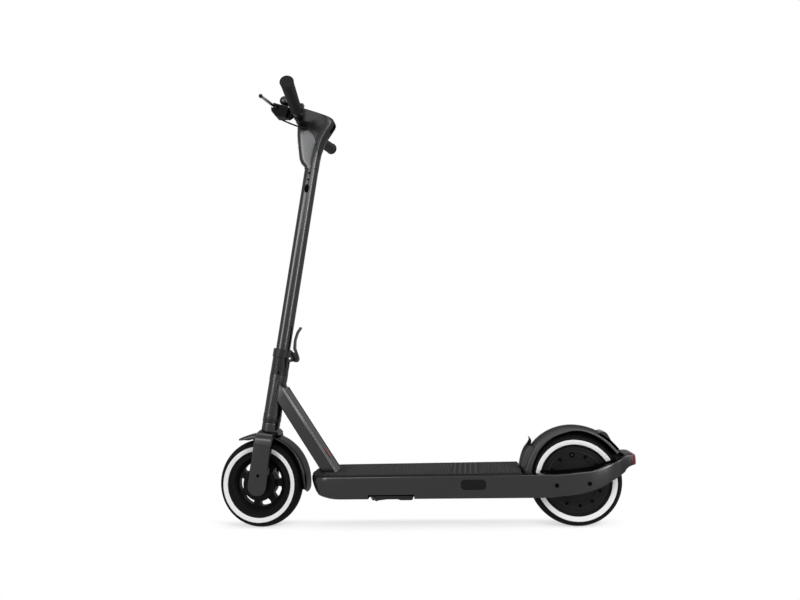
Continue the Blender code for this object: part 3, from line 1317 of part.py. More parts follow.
def build_materials():
    """Materials of the sub-parts, by short name."""
    return {
        "grey": make_material("grey_paint", (0.062, 0.064, 0.067), 0.42, 0.35),
        "black_paint": make_material("black_paint", (0.028, 0.029, 0.031), 0.45, 0.2),
        "black": make_material("black_plastic", (0.014, 0.014, 0.015), 0.5),
        "rubber": make_material("rubber", (0.016, 0.016, 0.017), 0.75),
        "tyre": make_material("tyre_rubber", (0.012, 0.012, 0.012), 0.8),
        "steel": make_material("steel", (0.55, 0.55, 0.56), 0.35, 1.0),
        "dark_metal": make_material("dark_metal", (0.03, 0.03, 0.032), 0.3, 0.8),
        "aluminium": make_material("aluminium", (0.62, 0.63, 0.64), 0.4, 1.0),
        "copper": make_material("copper", (0.72, 0.35, 0.18), 0.4, 0.9),
        "smoke": make_material("smoked_lens", (0.02, 0.02, 0.02), 0.25),
        "red": make_material("red_rubber", (0.28, 0.02, 0.03), 0.6),
        "red_lens": make_material("red_lens", (0.5, 0.01, 0.02), 0.2),
        "clear": make_material("clear_lens", (0.8, 0.8, 0.8), 0.1),
        "glass": make_material("display_glass", (0.01, 0.01, 0.012), 0.08),
        "blue": make_material("battery_wrap", (0.03, 0.10, 0.35), 0.4),
    }


def main():
    """Build the whole scooter."""
    clear_scene()
    mats = build_materials()
    root = make_empty("scooter", (-CENTRE_X, 0, 0))
    steering = make_empty("steering_axis", (0, 0, TYRE_RADIUS), (0, RAKE, 0), root)
    build_frame(root, steering, mats)
    build_charge_flap(root, mats)
    build_deck(root, mats)
    build_reflectors(root, mats)
    build_side_covers(root, mats)
    build_dropouts(root, mats)
    build_motor(root, mats)
    build_rear_wheel(root, mats)
    build_rear_fender(root, mats)
    build_tail(root, mats)
    build_kickstand(root, mats)
    build_fork(steering, mats)
    build_front_fender(steering, mats)
    build_front_axle(steering, mats)
    build_front_wheel(steering, mats)
    build_fold_base(steering, mats)
    build_fold_block(steering, mats)
    build_latch(steering, mats)
    build_stem(steering, mats)
    build_head(steering, mats)
    build_handlebar(steering, mats)
    build_brake(steering, mats)
    build_throttle(steering, mats)
    build_switch(steering, mats)
    bpy.context.view_layer.update()


main()
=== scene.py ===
"""Looks of the folding electric scooter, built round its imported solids.

Most places are given as in the part: x runs backwards from the front axle, and the fork, stem and
handlebar are drawn in the steering frame, whose z runs up the steering axis from the front axle.
"""
import json
from math import atan2, cos, pi, radians, sin, sqrt

import bmesh
import bpy
from mathutils import Matrix, Vector
from mathutils.bvhtree import BVHTree


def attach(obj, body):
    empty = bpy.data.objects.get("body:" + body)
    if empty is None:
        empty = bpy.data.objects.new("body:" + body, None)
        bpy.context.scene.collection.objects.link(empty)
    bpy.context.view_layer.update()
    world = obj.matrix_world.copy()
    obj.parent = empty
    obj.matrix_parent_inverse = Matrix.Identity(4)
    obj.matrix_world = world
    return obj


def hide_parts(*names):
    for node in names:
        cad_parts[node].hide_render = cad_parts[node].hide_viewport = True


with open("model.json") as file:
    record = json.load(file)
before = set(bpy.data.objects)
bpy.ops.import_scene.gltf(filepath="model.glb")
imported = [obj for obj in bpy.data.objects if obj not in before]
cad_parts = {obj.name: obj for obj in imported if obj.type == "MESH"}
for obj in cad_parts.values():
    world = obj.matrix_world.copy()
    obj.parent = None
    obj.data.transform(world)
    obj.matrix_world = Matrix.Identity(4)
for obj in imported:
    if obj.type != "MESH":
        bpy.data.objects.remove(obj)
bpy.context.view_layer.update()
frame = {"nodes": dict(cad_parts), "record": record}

# Driving dimensions, shared with the part
TYRE_RADIUS = 0.125
WHEELBASE = 0.896
RAKE = radians(10.43)
CENTRE_X = 0.4635
REAR_AXLE = (WHEELBASE, TYRE_RADIUS)
DECK_TOP = 0.1530
MAT_GAP = 0.0003
MAT_THICKNESS = 0.0045
MAT_TOP = DECK_TOP + MAT_GAP + MAT_THICKNESS
HEAD_TUBE_RADIUS = 0.0262
STEM_RADIUS = 0.0213
FENDER_RADIUS = 0.1437
REAR_FENDER_RADIUS = 0.1448
BEAM_TOP = (0.0563, 0.400)
BEAM_FOOT = (0.2357, 0.1204)
BEAM_HALF = (0.0192, 0.0270)
BEAM_CORNER = 0.0055
BRAKE_ORIGIN = (-0.0408, 0.0, 1.0940)
BRAKE_TILT = radians(12)
SIDES = (("left", -1), ("right", 1))

# From the frames in which the pieces are drawn to the world
TO_ROOT = Matrix.Translation((-CENTRE_X, 0, 0))
TO_STEERING = Matrix.Translation((-CENTRE_X, 0, TYRE_RADIUS)) @ Matrix.Rotation(RAKE, 4, "Y")
TO_REAR_AXLE = Matrix.Translation((WHEELBASE - CENTRE_X, 0, TYRE_RADIUS))
TO_BRAKE = TO_STEERING @ Matrix.Translation(BRAKE_ORIGIN) @ Matrix.Rotation(BRAKE_TILT, 4, "Y")

# White rings on the tyres' sidewalls, which lie further out across than WHITE_SIDE
WHITE_INNER = 0.0952
WHITE_OUTER = 0.1075
WHITE_SIDE = 0.0228

# Round crown of the tyre's tread, about a centre inside the tyre
CROWN_CENTRE = 0.1010
CROWN_RADIUS = 0.0240

# Skin of both fenders, and how far below their outer radius the black sheet lies that paints the
# shade inside them
SKIN = 0.0024
SHADE_SHEET_DEPTH = 0.0027

# Camera, from the photograph's two wheel ellipses and the stem
CAMERA_PLACE = (0.1665, -1.5764, 0.470)
CAMERA_YAW = radians(7.129)
CAMERA_PITCH = radians(6.26)
CAMERA_ROLL = radians(-2.333)
CAMERA_LENS = 24.28

# Level of the world's diffuse light, and the floor's shade
WORLD_LEVEL = 0.20
FLOOR_SHADE = (0.62, 0.62, 0.62, 1)

# The floor glows a little near the scooter, where it keeps the shadow, and is white further off
FLOOR_GLOW = 0.52
NEAR_SHIFT = (0, -0.13, 0)
NEAR_SCALE = (0.5, 13, 1)
NEAR_END = 0.33
WHITE_START = 0.85

# Finishes of CAD nodes that differ from their slot's own
NODE_FINISHES = {
    "deck_mat": "mat_rubber", "brake_plate": "dark_metal", "front_rim": "wheel_black",
    "motor_cover": "motor_black", "motor_shell": "motor_black", "brake_perch": "wheel_black",
    "tail_housing": "black_paint", "fold_block": "joint_black",
}


# Stage

def make_camera():
    """Camera at the photograph's place and angle."""
    data = bpy.data.cameras.new("camera")
    data.lens = CAMERA_LENS
    data.sensor_width = 36
    camera = bpy.data.objects.new("camera", data)
    turn = Matrix.Rotation(CAMERA_YAW, 4, "Z") @ Matrix.Rotation(pi / 2 + CAMERA_PITCH, 4, "X")
    camera.matrix_world = (
        Matrix.Translation(CAMERA_PLACE) @ turn @ Matrix.Rotation(CAMERA_ROLL, 4, "Z")
    )
    bpy.context.scene.collection.objects.link(camera)
    bpy.context.scene.camera = camera


def area_lamp(name, place, target, size, power):
    """Soft rectangular lamp that looks at a point."""
    data = bpy.data.lights.new(name, "AREA")
    data.shape = "RECTANGLE"
    data.size, data.size_y = size
    data.energy = power
    lamp = bpy.data.objects.new(name, data)
    lamp.location = place
    lamp.rotation_mode = "QUATERNION"
    lamp.rotation_quaternion = (Vector(target) - Vector(place)).to_track_quat("-Z", "Y")
    lamp.visible_camera = False
    bpy.context.scene.collection.objects.link(lamp)


def make_lamps():
    """Lamp overhead, a broad one at the left, a tall one at the right and two in front."""
    area_lamp("lamp_top", (0.1, 0.0, 3.2), (0.1, 0.0, 0), (2.4, 1.0), 22)
    area_lamp("lamp_left", (-2.15, -2.45, 1.25), (-0.35, 0, 0.7), (0.95, 1.7), 52)
    area_lamp("lamp_right", (2.05, -1.85, 1.15), (-0.30, 0, 0.6), (0.50, 2.6), 62)
    area_lamp("lamp_front", (-1.10, -2.8, 1.90), (-0.3, 0, 1.0), (1.2, 0.60), 15.5)
    area_lamp("lamp_rear", (1.40, -2.5, 2.1), (0.4, 0, 0.2), (1.4, 1.7), 30)


def seen_ray(nodes, links):
    """Socket that is 1 for camera, glossy and transmission rays."""
    path = nodes.new("ShaderNodeLightPath")
    seen = path.outputs["Is Camera Ray"]
    for name in ("Is Transmission Ray", "Is Glossy Ray"):
        either = nodes.new("ShaderNodeMath")
        either.operation = "MAXIMUM"
        links.new(seen, either.inputs[0])
        links.new(path.outputs[name], either.inputs[1])
        seen = either.outputs[0]
    return seen


def make_world():
    """White background, with a weaker level for the diffuse light."""
    world = bpy.data.worlds.new("world")
    bpy.context.scene.world = world
    world.use_nodes = True
    nodes = world.node_tree.nodes
    links = world.node_tree.links
    shader = nodes["Background"]
    level = nodes.new("ShaderNodeMapRange")
    level.inputs["To Min"].default_value = WORLD_LEVEL
    level.inputs["To Max"].default_value = 1.0
    links.new(seen_ray(nodes, links), level.inputs["Value"])
    links.new(level.outputs["Result"], shader.inputs["Strength"])
    shader.inputs["Color"].default_value = (1, 1, 1, 1)


def mix_shaders(nodes, links, share, first, second):
    """Shader output that goes from the first shader to the second one with the share."""
    mix = nodes.new("ShaderNodeMixShader")
    links.new(share, mix.inputs[0])
    links.new(first, mix.inputs[1])
    links.new(second, mix.inputs[2])
    return mix.outputs[0]


def distance_share(nodes, links):
    """Socket that is 0 in a long ellipse round the wheels' line and 1 further off."""
    where = nodes.new("ShaderNodeTexCoord")
    ellipse = nodes.new("ShaderNodeMapping")
    ellipse.inputs["Location"].default_value = NEAR_SHIFT
    ellipse.inputs["Scale"].default_value = NEAR_SCALE
    links.new(where.outputs["Object"], ellipse.inputs["Vector"])
    reach = nodes.new("ShaderNodeVectorMath")
    reach.operation = "LENGTH"
    links.new(ellipse.outputs["Vector"], reach.inputs[0])
    fade = nodes.new("ShaderNodeMapRange")
    fade.interpolation_type = "SMOOTHSTEP"
    fade.inputs["From Min"].default_value = NEAR_END
    fade.inputs["From Max"].default_value = WHITE_START
    links.new(reach.outputs["Value"], fade.inputs["Value"])
    return fade.outputs["Result"]


def floor_material():
    """Pale to diffuse light and, where it is seen, white but for the scooter's shadow."""
    mat = bpy.data.materials.new("floor")
    mat.use_nodes = True
    nodes = mat.node_tree.nodes
    links = mat.node_tree.links
    nodes.clear()
    output = nodes.new("ShaderNodeOutputMaterial")
    pale = nodes.new("ShaderNodeBsdfDiffuse")
    pale.inputs["Color"].default_value = FLOOR_SHADE
    glow = nodes.new("ShaderNodeEmission")
    glow.inputs["Strength"].default_value = FLOOR_GLOW
    near = nodes.new("ShaderNodeAddShader")
    links.new(pale.outputs[0], near.inputs[0])
    links.new(glow.outputs[0], near.inputs[1])
    far = nodes.new("ShaderNodeEmission")
    white = mix_shaders(nodes, links, distance_share(nodes, links), near.outputs[0],
                        far.outputs[0])
    picked = mix_shaders(nodes, links, seen_ray(nodes, links), pale.outputs[0], white)
    links.new(picked, output.inputs["Surface"])
    return mat


def make_floor():
    """Plain white floor that keeps the scooter's shadow."""
    bm = bmesh.new()
    bmesh.ops.create_grid(bm, x_segments=2, y_segments=2, size=40)
    mesh = bpy.data.meshes.new("floor")
    bm.to_mesh(mesh)
    bm.free()
    floor = bpy.data.objects.new("floor", mesh)
    bpy.context.scene.collection.objects.link(floor)
    mesh.materials.append(floor_material())


# Materials

def surface(name, color, roughness, metallic, specular, coat=0.0, edge=1.0, grain=900.0,
            depth=0.00004, mottle=0.06, spread=0.05):
    """Principled material with a fine grain, a slight mottle and uneven gloss."""
    mat = bpy.data.materials.new(name)
    mat.use_nodes = True
    nodes = mat.node_tree.nodes
    links = mat.node_tree.links
    shader = nodes["Principled BSDF"]
    shader.inputs["Metallic"].default_value = metallic
    shader.inputs["Specular IOR Level"].default_value = specular
    shader.inputs["Specular Tint"].default_value = (edge, edge, edge, 1)
    shader.inputs["Coat Weight"].default_value = coat
    shader.inputs["Coat Roughness"].default_value = 0.1
    where = nodes.new("ShaderNodeTexCoord")

    broad = nodes.new("ShaderNodeTexNoise")
    broad.inputs["Scale"].default_value = 14.0
    broad.inputs["Detail"].default_value = 4.0
    links.new(where.outputs["Object"], broad.inputs["Vector"])
    tint = nodes.new("ShaderNodeMix")
    tint.data_type = "RGBA"
    tint.inputs["A"].default_value = (*[c * (1 - mottle) for c in color], 1)
    tint.inputs["B"].default_value = (*[min(1, c * (1 + mottle)) for c in color], 1)
    links.new(broad.outputs["Fac"], tint.inputs["Factor"])
    links.new(tint.outputs["Result"], shader.inputs["Base Color"])

    fine = nodes.new("ShaderNodeTexNoise")
    fine.inputs["Scale"].default_value = grain
    fine.inputs["Detail"].default_value = 2.0
    links.new(where.outputs["Object"], fine.inputs["Vector"])
    gloss = nodes.new("ShaderNodeMapRange")
    gloss.inputs["To Min"].default_value = max(0.02, roughness - spread)
    gloss.inputs["To Max"].default_value = min(1.0, roughness + spread)
    links.new(fine.outputs["Fac"], gloss.inputs["Value"])
    links.new(gloss.outputs["Result"], shader.inputs["Roughness"])
    bump = nodes.new("ShaderNodeBump")
    bump.inputs["Distance"].default_value = depth
    bump.inputs["Strength"].default_value = 0.5
    links.new(fine.outputs["Fac"], bump.inputs["Height"])
    links.new(bump.outputs["Normal"], shader.inputs["Normal"])
    return mat


def build_materials():
    """All finishes, by the record's slot names, and a few more.

    Each has its colour, roughness, metallic and specular, and what else differs.
    """
    even = {"depth": 0.0, "spread": 0.0}
    soft = {"grain": 500, "depth": 0.0001}
    coarse = {"grain": 420, "depth": 0.0001}
    glass = {"depth": 0.0, "mottle": 0.0, "spread": 0.02}
    looks = {
        "grey_paint": ((0.040, 0.0403, 0.0412), 0.25, 1.0, 0.5, {"edge": 0.65, **even}),
        "black_paint": ((0.030, 0.0303, 0.031), 0.33, 1.0, 0.5, {"edge": 0.55, **even}),
        "fender_paint": ((0.046, 0.0463, 0.047), 0.55, 1.0, 0.5, {"edge": 0.40, **even}),
        "black_plastic": ((0.0040, 0.0040, 0.0042), 0.40, 0.0, 0.20, {}),
        "rubber": ((0.0055, 0.0055, 0.0057), 0.70, 0.0, 0.13, soft),
        "mat_rubber": ((0.0105, 0.0105, 0.0108), 0.80, 0.0, 0.08, soft),
        # lozenges and bars of the mat: the same rubber, lighter as a painted highlight
        "mat_pattern_highlight": ((0.0280, 0.0280, 0.0285), 0.75, 0.0, 0.12, soft),
        "tyre_rubber": ((0.0030, 0.0030, 0.0031), 0.66, 0.0, 0.06, coarse),
        "white_wall": ((0.58, 0.58, 0.575), 0.6, 0.0, 0.3, {"mottle": 0.02}),
        "steel": ((0.42, 0.42, 0.43), 0.32, 1.0, 0.5, {"grain": 1500}),
        "dark_metal": ((0.045, 0.045, 0.047), 0.20, 1.0, 0.5, {"edge": 0.5}),
        "aluminium": ((0.40, 0.41, 0.42), 0.42, 1.0, 0.5, {"grain": 700}),
        "winding": ((0.45, 0.19, 0.08), 0.4, 0.9, 0.5, {}),
        "smoked_lens": ((0.003, 0.003, 0.003), 0.30, 0.0, 0.12, {}),
        "red_rubber": ((0.085, 0.006, 0.014), 0.5, 0.0, 0.3, {}),
        "red_lens": ((0.10, 0.004, 0.010), 0.25, 0.0, 0.25, {}),
        "clear_lens": ((0.62, 0.62, 0.64), 0.12, 0.0, 0.5, {"coat": 0.5}),
        "display_glass": ((0.004, 0.004, 0.005), 0.07, 0.0, 0.5, glass),
        "battery_wrap": ((0.02, 0.07, 0.24), 0.38, 0.0, 0.5, {}),
        "wheel_black": ((0.0022, 0.0022, 0.0023), 0.45, 0.0, 0.06, {}),
        "motor_black": ((0.0045, 0.0045, 0.0046), 0.50, 0.0, 0.10, {}),
        "joint_black": ((0.0045, 0.0045, 0.0047), 0.42, 0.0, 0.20, {}),
        # deep_black also paints shade: the sheets in the fenders and side covers, the head seam
        # and the joint's slits
        "deep_black": ((0.0010, 0.0010, 0.0010), 0.8, 0.0, 0.02, {"depth": 0.0}),
        "brushed": ((0.30, 0.30, 0.31), 0.35, 1.0, 0.5, {"grain": 700}),
    }
    mats = {}
    for name, (color, roughness, metallic, specular, more) in looks.items():
        mats[name] = surface(name, color, roughness, metallic, specular, **more)
    return mats


# Helpers for outlines and curves

def on_circle(radius, angle):
    """Point at a radius and an angle in degrees."""
    a = radians(angle)
    return radius * cos(a), radius * sin(a)


def arc(centre, radius, start, end, steps):
    """Points on an arc, angles in degrees, both ends included."""
    points = []
    for i in range(steps + 1):
        u, v = on_circle(radius, start + (end - start) * i / steps)
        points.append((centre[0] + u, centre[1] + v))
    return points


def rounded(corners, steps=3):
    """An outline from corners (u, v, radius), each one filleted."""
    points = []
    count = len(corners)
    for i, (u, v, radius) in enumerate(corners):
        here = Vector((u, v))
        before = (Vector(corners[i - 1][:2]) - here).normalized()
        after = (Vector(corners[(i + 1) % count][:2]) - here).normalized()
        half = before.angle(after) / 2
        reach = radius / sin(half) * cos(half)
        centre = here + (before + after).normalized() * (radius / sin(half))
        first = here + before * reach - centre
        last = here + after * reach - centre
        a0 = atan2(first.y, first.x)
        turn = (atan2(last.y, last.x) - a0 + pi) % (2 * pi) - pi
        for k in range(steps + 1):
            a = a0 + turn * k / steps
            points.append((centre.x + radius * cos(a), centre.y + radius * sin(a)))
    return points


def smooth_path(points, steps):
    """Points on a Catmull-Rom curve through the given points."""
    p = [Vector(q) for q in points]
    p = [p[0] * 2 - p[1]] + p + [p[-1] * 2 - p[-2]]
    path = []
    for i in range(1, len(p) - 2):
        for k in range(steps):
            t = k / steps
            a = p[i] * 2
            b = (p[i + 1] - p[i - 1]) * t
            c = (p[i - 1] * 2 - p[i] * 5 + p[i + 1] * 4 - p[i + 2]) * t * t
            d = (p[i] * 3 - p[i - 1] - p[i + 1] * 3 + p[i + 2]) * t * t * t
            path.append((a + b + c + d) * 0.5)
    path.append(p[-2])
    return path


def smooth_value(table, x):
    """Value at x of a smooth curve through the (x, value) pairs of table."""
    if x <= table[0][0]:
        return table[0][1]
    for (x0, v0), (x1, v1) in zip(table, table[1:]):
        if x <= x1:
            k = (x - x0) / (x1 - x0)
            k = k * k * (3 - 2 * k) * 0.5 + k * 0.5
            return v0 + (v1 - v0) * k
    return table[-1][1]


# Helpers for bodies

def add_skin(bm, rings, closed=False):
    """Add a skin over rings of equal count; the end rings are capped unless it is closed."""
    rows = []
    for ring in rings:
        rows.append([bm.verts.new(p) for p in ring])
    count = len(rows[0])
    spans = list(zip(rows, rows[1:]))
    if closed:
        spans.append((rows[-1], rows[0]))
    for low, high in spans:
        for i in range(count):
            j = (i + 1) % count
            bm.faces.new((low[i], low[j], high[j], high[i]))
    if not closed:
        bm.faces.new(list(reversed(rows[0])))
        bm.faces.new(rows[-1])


def loft(rings, closed=False):
    """Body of one skin over rings of equal count."""
    bm = bmesh.new()
    add_skin(bm, rings, closed)
    return bm


def prism_y(outline, low, high):
    """Outline (x, z) drawn out along y."""
    return loft([[(x, low, z) for x, z in outline], [(x, high, z) for x, z in outline]])


def turn_y(profile, steps):
    """Closed profile (radius, y) turned about the y axis."""
    rings = []
    for i in range(steps):
        a = 2 * pi * i / steps
        rings.append([(r * cos(a), y, r * sin(a)) for r, y in profile])
    return loft(rings, closed=True)


def sweep_y(section, start, end, steps):
    """Closed section (radius, y) swept about the y axis between two angles in degrees."""
    rings = []
    for i in range(steps + 1):
        a = radians(start + (end - start) * i / steps)
        rings.append([(r * cos(a), y, r * sin(a)) for r, y in section])
    return loft(rings)


def disc_y(centre, radius, low, high, steps=20, chamfer=0.0):
    """Round head standing along y round a centre (x, z), chamfered at its low end."""
    rings = []
    for y, r in ((low, radius - chamfer), (low + chamfer, radius), (high, radius)):
        rings.append([(centre[0] + r * cos(2 * pi * i / steps), y,
                       centre[1] + r * sin(2 * pi * i / steps)) for i in range(steps)])
    return loft(rings)


def tube_along(path, radii, steps, closed=False):
    """Round bar along a path, with one radius for each point."""
    points = [Vector(p) for p in path]
    count = len(points)
    rings = []
    side = None
    for i, point in enumerate(points):
        if closed:
            ahead = points[(i + 1) % count] - points[i - 1]
        else:
            ahead = points[min(i + 1, count - 1)] - points[max(i - 1, 0)]
        ahead.normalize()
        if side is None:
            guide = Vector((0, 0, 1)) if abs(ahead.z) < 0.9 else Vector((1, 0, 0))
            side = ahead.cross(guide)
        side = (side - ahead * side.dot(ahead)).normalized()
        up = ahead.cross(side)
        rings.append([
            point + (side * cos(2 * pi * k / steps) + up * sin(2 * pi * k / steps)) * radii[i]
            for k in range(steps)
        ])
    return loft(rings, closed)


def merge(parts):
    """Join several bmeshes into one."""
    whole = bmesh.new()
    for part in parts:
        mesh = bpy.data.meshes.new("part")
        part.to_mesh(mesh)
        part.free()
        whole.from_mesh(mesh)
        bpy.data.meshes.remove(mesh)
    return whole


def surface_tree(*names):
    """Search tree over the faces of some CAD nodes."""
    points = []
    faces = []
    for name in names:
        mesh = frame["nodes"][name].data
        start = len(points)
        points += [v.co.copy() for v in mesh.vertices]
        faces += [[start + i for i in face.vertices] for face in mesh.polygons]
    return BVHTree.FromPolygons(points, faces)


def side_points(tree, path, to_world, side, lift):
    """Where lines along y meet a surface, from (x, z) points, lifted a little off it."""
    found = []
    for x, z in path:
        start = to_world @ Vector((x, side * 0.3, z))
        hit = tree.ray_cast(start, Vector((0, -side, 0)))[0]
        if hit is not None:
            found.append(hit + Vector((0, side * lift, 0)))
    return found


def piece(name, bm, mats, body, to_world=None, smooth=35, node=None):
    """A visible piece from a bmesh; it rides on a body and may stand for a CAD node."""
    if to_world is not None:
        bmesh.ops.transform(bm, matrix=to_world, verts=bm.verts)
    bmesh.ops.recalc_face_normals(bm, faces=bm.faces)
    mesh = bpy.data.meshes.new(name)
    bm.to_mesh(mesh)
    bm.free()
    mesh.shade_smooth()
    mesh.set_sharp_from_angle(angle=radians(smooth))
    for mat in mats:
        mesh.materials.append(mat)
    obj = bpy.data.objects.new(name, mesh)
    bpy.context.scene.collection.objects.link(obj)
    weigh = obj.modifiers.new("WeightedNormal", "WEIGHTED_NORMAL")
    weigh.keep_sharp = True
    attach(obj, body)
    if node is not None:
        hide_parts(node)


# CAD nodes that keep their own shape

def dress_nodes(mats):
    """Give each CAD node its finish, and smooth its round faces."""
    slots = {item["node"]: item["material_slot"] for item in frame["record"]["subparts"]}
    for name, obj in frame["nodes"].items():
        obj.data.materials.clear()
        obj.data.materials.append(mats[NODE_FINISHES.get(name, slots[name])])
        if obj.data.has_custom_normals:
            obj.data.attributes.remove(obj.data.attributes["custom_normal"])
        obj.data.shade_smooth()
        weld = obj.modifiers.new("Weld", "WELD")
        weld.merge_threshold = 0.00002
        split = obj.modifiers.new("EdgeSplit", "EDGE_SPLIT")
        split.split_angle = radians(32)
        weigh = obj.modifiers.new("WeightedNormal", "WEIGHTED_NORMAL")
        weigh.keep_sharp = True


# Tyres

def tyre_section():
    """Half of the tyre's outer section (radius, y), from bead to crown, through the white ring."""
    low = [(0.0853, 0.0180), (0.0880, 0.0196), (0.0915, 0.0215), (WHITE_INNER - 0.0006, 0.0226)]
    ring = [(WHITE_INNER, 0.0234), (0.0990, 0.0248), (0.1035, 0.0258), (WHITE_OUTER, 0.0262)]
    high = [(WHITE_OUTER + 0.0006, 0.0258), (0.1110, 0.0256), (0.1145, 0.0243)]
    return low + ring + high + arc((CROWN_CENTRE, 0.0), CROWN_RADIUS, 66, 0, 12)


def tread_depth(turn, y, teeth=44):
    """How deep the tread is cut at an angle (as a share of a turn) and a place across."""
    across = abs(y)
    zigzag = abs((turn * teeth) % 1 - 0.5) * 0.0040 - 0.0010
    if abs(across - 0.0030 - zigzag) < 0.0008:
        return 0.0012
    slant = (turn * teeth + across * 90 * (1 if y > 0 else -1)) % 1
    if 0.0075 < across < 0.0190 and slant < 0.26:
        return 0.0011
    return 0.0


def tyre_body(steps=264):
    """Tyre about the y axis with grooves in its tread."""
    half = tyre_section()
    inner = [(0.1165, 0.0100), (0.1060, 0.0195), (0.0870, 0.0142)]
    section = half + [(r, -y) for r, y in reversed(half[:-1])]
    section += [(r, -y) for r, y in reversed(inner)] + inner
    tread_start = 0.1150
    tread_half = 0.0215
    rings = []
    for i in range(steps):
        turn = i / steps
        a = 2 * pi * turn
        ring = []
        for r, y in section:
            if r > tread_start and abs(y) < tread_half:
                r -= tread_depth(turn, y)
            ring.append((r * cos(a), y, r * sin(a)))
        rings.append(ring)
    return loft(rings, closed=True)


def build_tyres(mats):
    """Both tyres, with a white ring on each sidewall."""
    for name, body, place in (
        ("front_tyre", "front_wheel", TO_STEERING), ("rear_tyre", "rear_wheel", TO_REAR_AXLE),
    ):
        bm = tyre_body()
        for face in bm.faces:
            middle = face.calc_center_median()
            radius = Vector((middle.x, middle.z)).length
            if WHITE_INNER < radius < WHITE_OUTER and abs(middle.y) > WHITE_SIDE:
                face.material_index = 1
        piece(name + "_tread", bm, [mats["tyre_rubber"], mats["white_wall"]], body, place,
              smooth=40, node=name)


# Wheels

def build_front_drum(mats):
    """Brake drum of the cast front wheel, which stands out on both of its sides."""
    far = turn_y([(0.0120, 0.0100), (0.0440, 0.0100), (0.0470, 0.0115), (0.0470, 0.0215),
                  (0.0440, 0.0245), (0.0345, 0.0248), (0.0120, 0.0246)], 48)
    piece("front_brake_drum", far, [mats["black_plastic"]], "front_wheel", TO_STEERING)
    near = turn_y([(0.0120, -0.0250), (0.0330, -0.0256), (0.0440, -0.0256), (0.0475, -0.0238),
                   (0.0490, -0.0200), (0.0490, -0.0080), (0.0120, -0.0080)], 48)
    piece("front_hub_drum", near, [mats["wheel_black"]], "front_wheel", TO_STEERING)


def build_brake_plate(mats):
    """Brake's back plate, whose arm runs up behind the fork's right leg."""
    plate = turn_y([(0.0054, 0.0252), (0.0310, 0.0252), (0.0335, 0.0275), (0.0335, 0.0300),
                    (0.0160, 0.0338), (0.0054, 0.0341)], 48)
    arm = prism_y(rounded([(-0.0090, 0.0160, 0.004), (-0.0050, 0.0440, 0.003),
                           (0.0050, 0.0440, 0.003), (0.0090, 0.0160, 0.004)], 2), 0.0285, 0.0330)
    piece("brake_plate_disc", merge([plate, arm]), [mats["dark_metal"]], "steering", TO_STEERING,
          node="brake_plate")


def build_motor_cover(mats):
    """Ring of screws in the motor's cover, with one larger plug among them."""
    face = -0.0222
    count = 12
    plug = 3
    screw_circle = 0.0668
    plug_circle = 0.0680
    angles = [5 + 360 * k / count for k in range(count)]
    screws = []
    for k, angle in enumerate(angles):
        if k != plug:
            middle = on_circle(screw_circle, angle)
            screws.append(disc_y(middle, 0.0046, face - 0.0022, face, 18, 0.0006))
    piece("motor_cover_screws", merge(screws), [mats["deep_black"]], "rear_wheel", TO_REAR_AXLE)
    middle = on_circle(plug_circle, angles[plug])
    top = face - 0.0028
    piece("motor_cover_plug", disc_y(middle, 0.0072, top, face, 24, 0.0010),
          [mats["deep_black"]], "rear_wheel", TO_REAR_AXLE)
    piece("motor_cover_plug_pin", disc_y(middle, 0.0026, top - 0.0012, top, 16, 0.0004),
          [mats["dark_metal"]], "rear_wheel", TO_REAR_AXLE)


# Fenders

def build_fender_shade_sheets(mats):
    """Black sheet inside both fenders that paints the shade there, with a rib of painted shade
    that closes the gap over the tyre.
    """
    rib_half = 0.0072
    low = []
    for k in range(4, -5, -1):
        y = rib_half * k / 4
        low.append((CROWN_CENTRE + 0.0003 + sqrt(CROWN_RADIUS ** 2 - y ** 2), y))
    for name, radius, start, end, half, body, place in (
        ("front_fender_shade_sheet", FENDER_RADIUS - SHADE_SHEET_DEPTH, 111, 1.5, 0.0250, "steering",
         TO_STEERING),
        ("rear_fender_shade_sheet", REAR_FENDER_RADIUS - SHADE_SHEET_DEPTH, 170, 30, 0.0200, "chassis",
         TO_REAR_AXLE),
    ):
        rib = sweep_y([(radius, -rib_half), (radius, rib_half)] + low, start, end, 48)
        sheet = sweep_y([(radius, -half), (radius, half), (radius - 0.0006, half),
                         (radius - 0.0006, -half)], start, end + 2, 48)
        piece(name, merge([rib, sheet]), [mats["deep_black"]], body, place)


def fender_section(drop, width, edge, roll, steps, flat, swell=0.0):
    """Closed section (radius inwards, y) of a fender's skin, whose shoulder is rolled.

    The shoulder drops by edge over the width roll, flat is the share of the half width that
    stays flat on top, and swell lowers the outer part of the top.
    """
    outer = [(drop, width), ((drop + edge) / 2, width)]
    for k in range(steps + 1):
        a = pi / 2 * k / steps
        y = width - roll * (1 - cos(a))
        outer.append((edge * (1 - sin(a)) + swell * (y / width) ** 2 * sin(a), y))
    outer.append((0.0, width * flat))
    inner = [(d + SKIN * 0.9, max(0.0, y - SKIN * 0.55)) for d, y in outer]
    inner[0] = (drop, width - SKIN)
    section = outer + [(d, -y) for d, y in reversed(outer)]
    section += [(d, -y) for d, y in inner] + [(d, y) for d, y in reversed(inner)]
    return section


def fender_skin(rings):
    """Skin of a fender, with a second material for its inner faces and its rim: near-black paint
    that stands for the shade under the fender.
    """
    bm = loft(rings)
    count = len(rings[0])
    for n, face in enumerate(bm.faces):
        # inner faces and rim take the painted shade
        if n % count >= count // 2 - 1:
            face.material_index = 1
    return bm


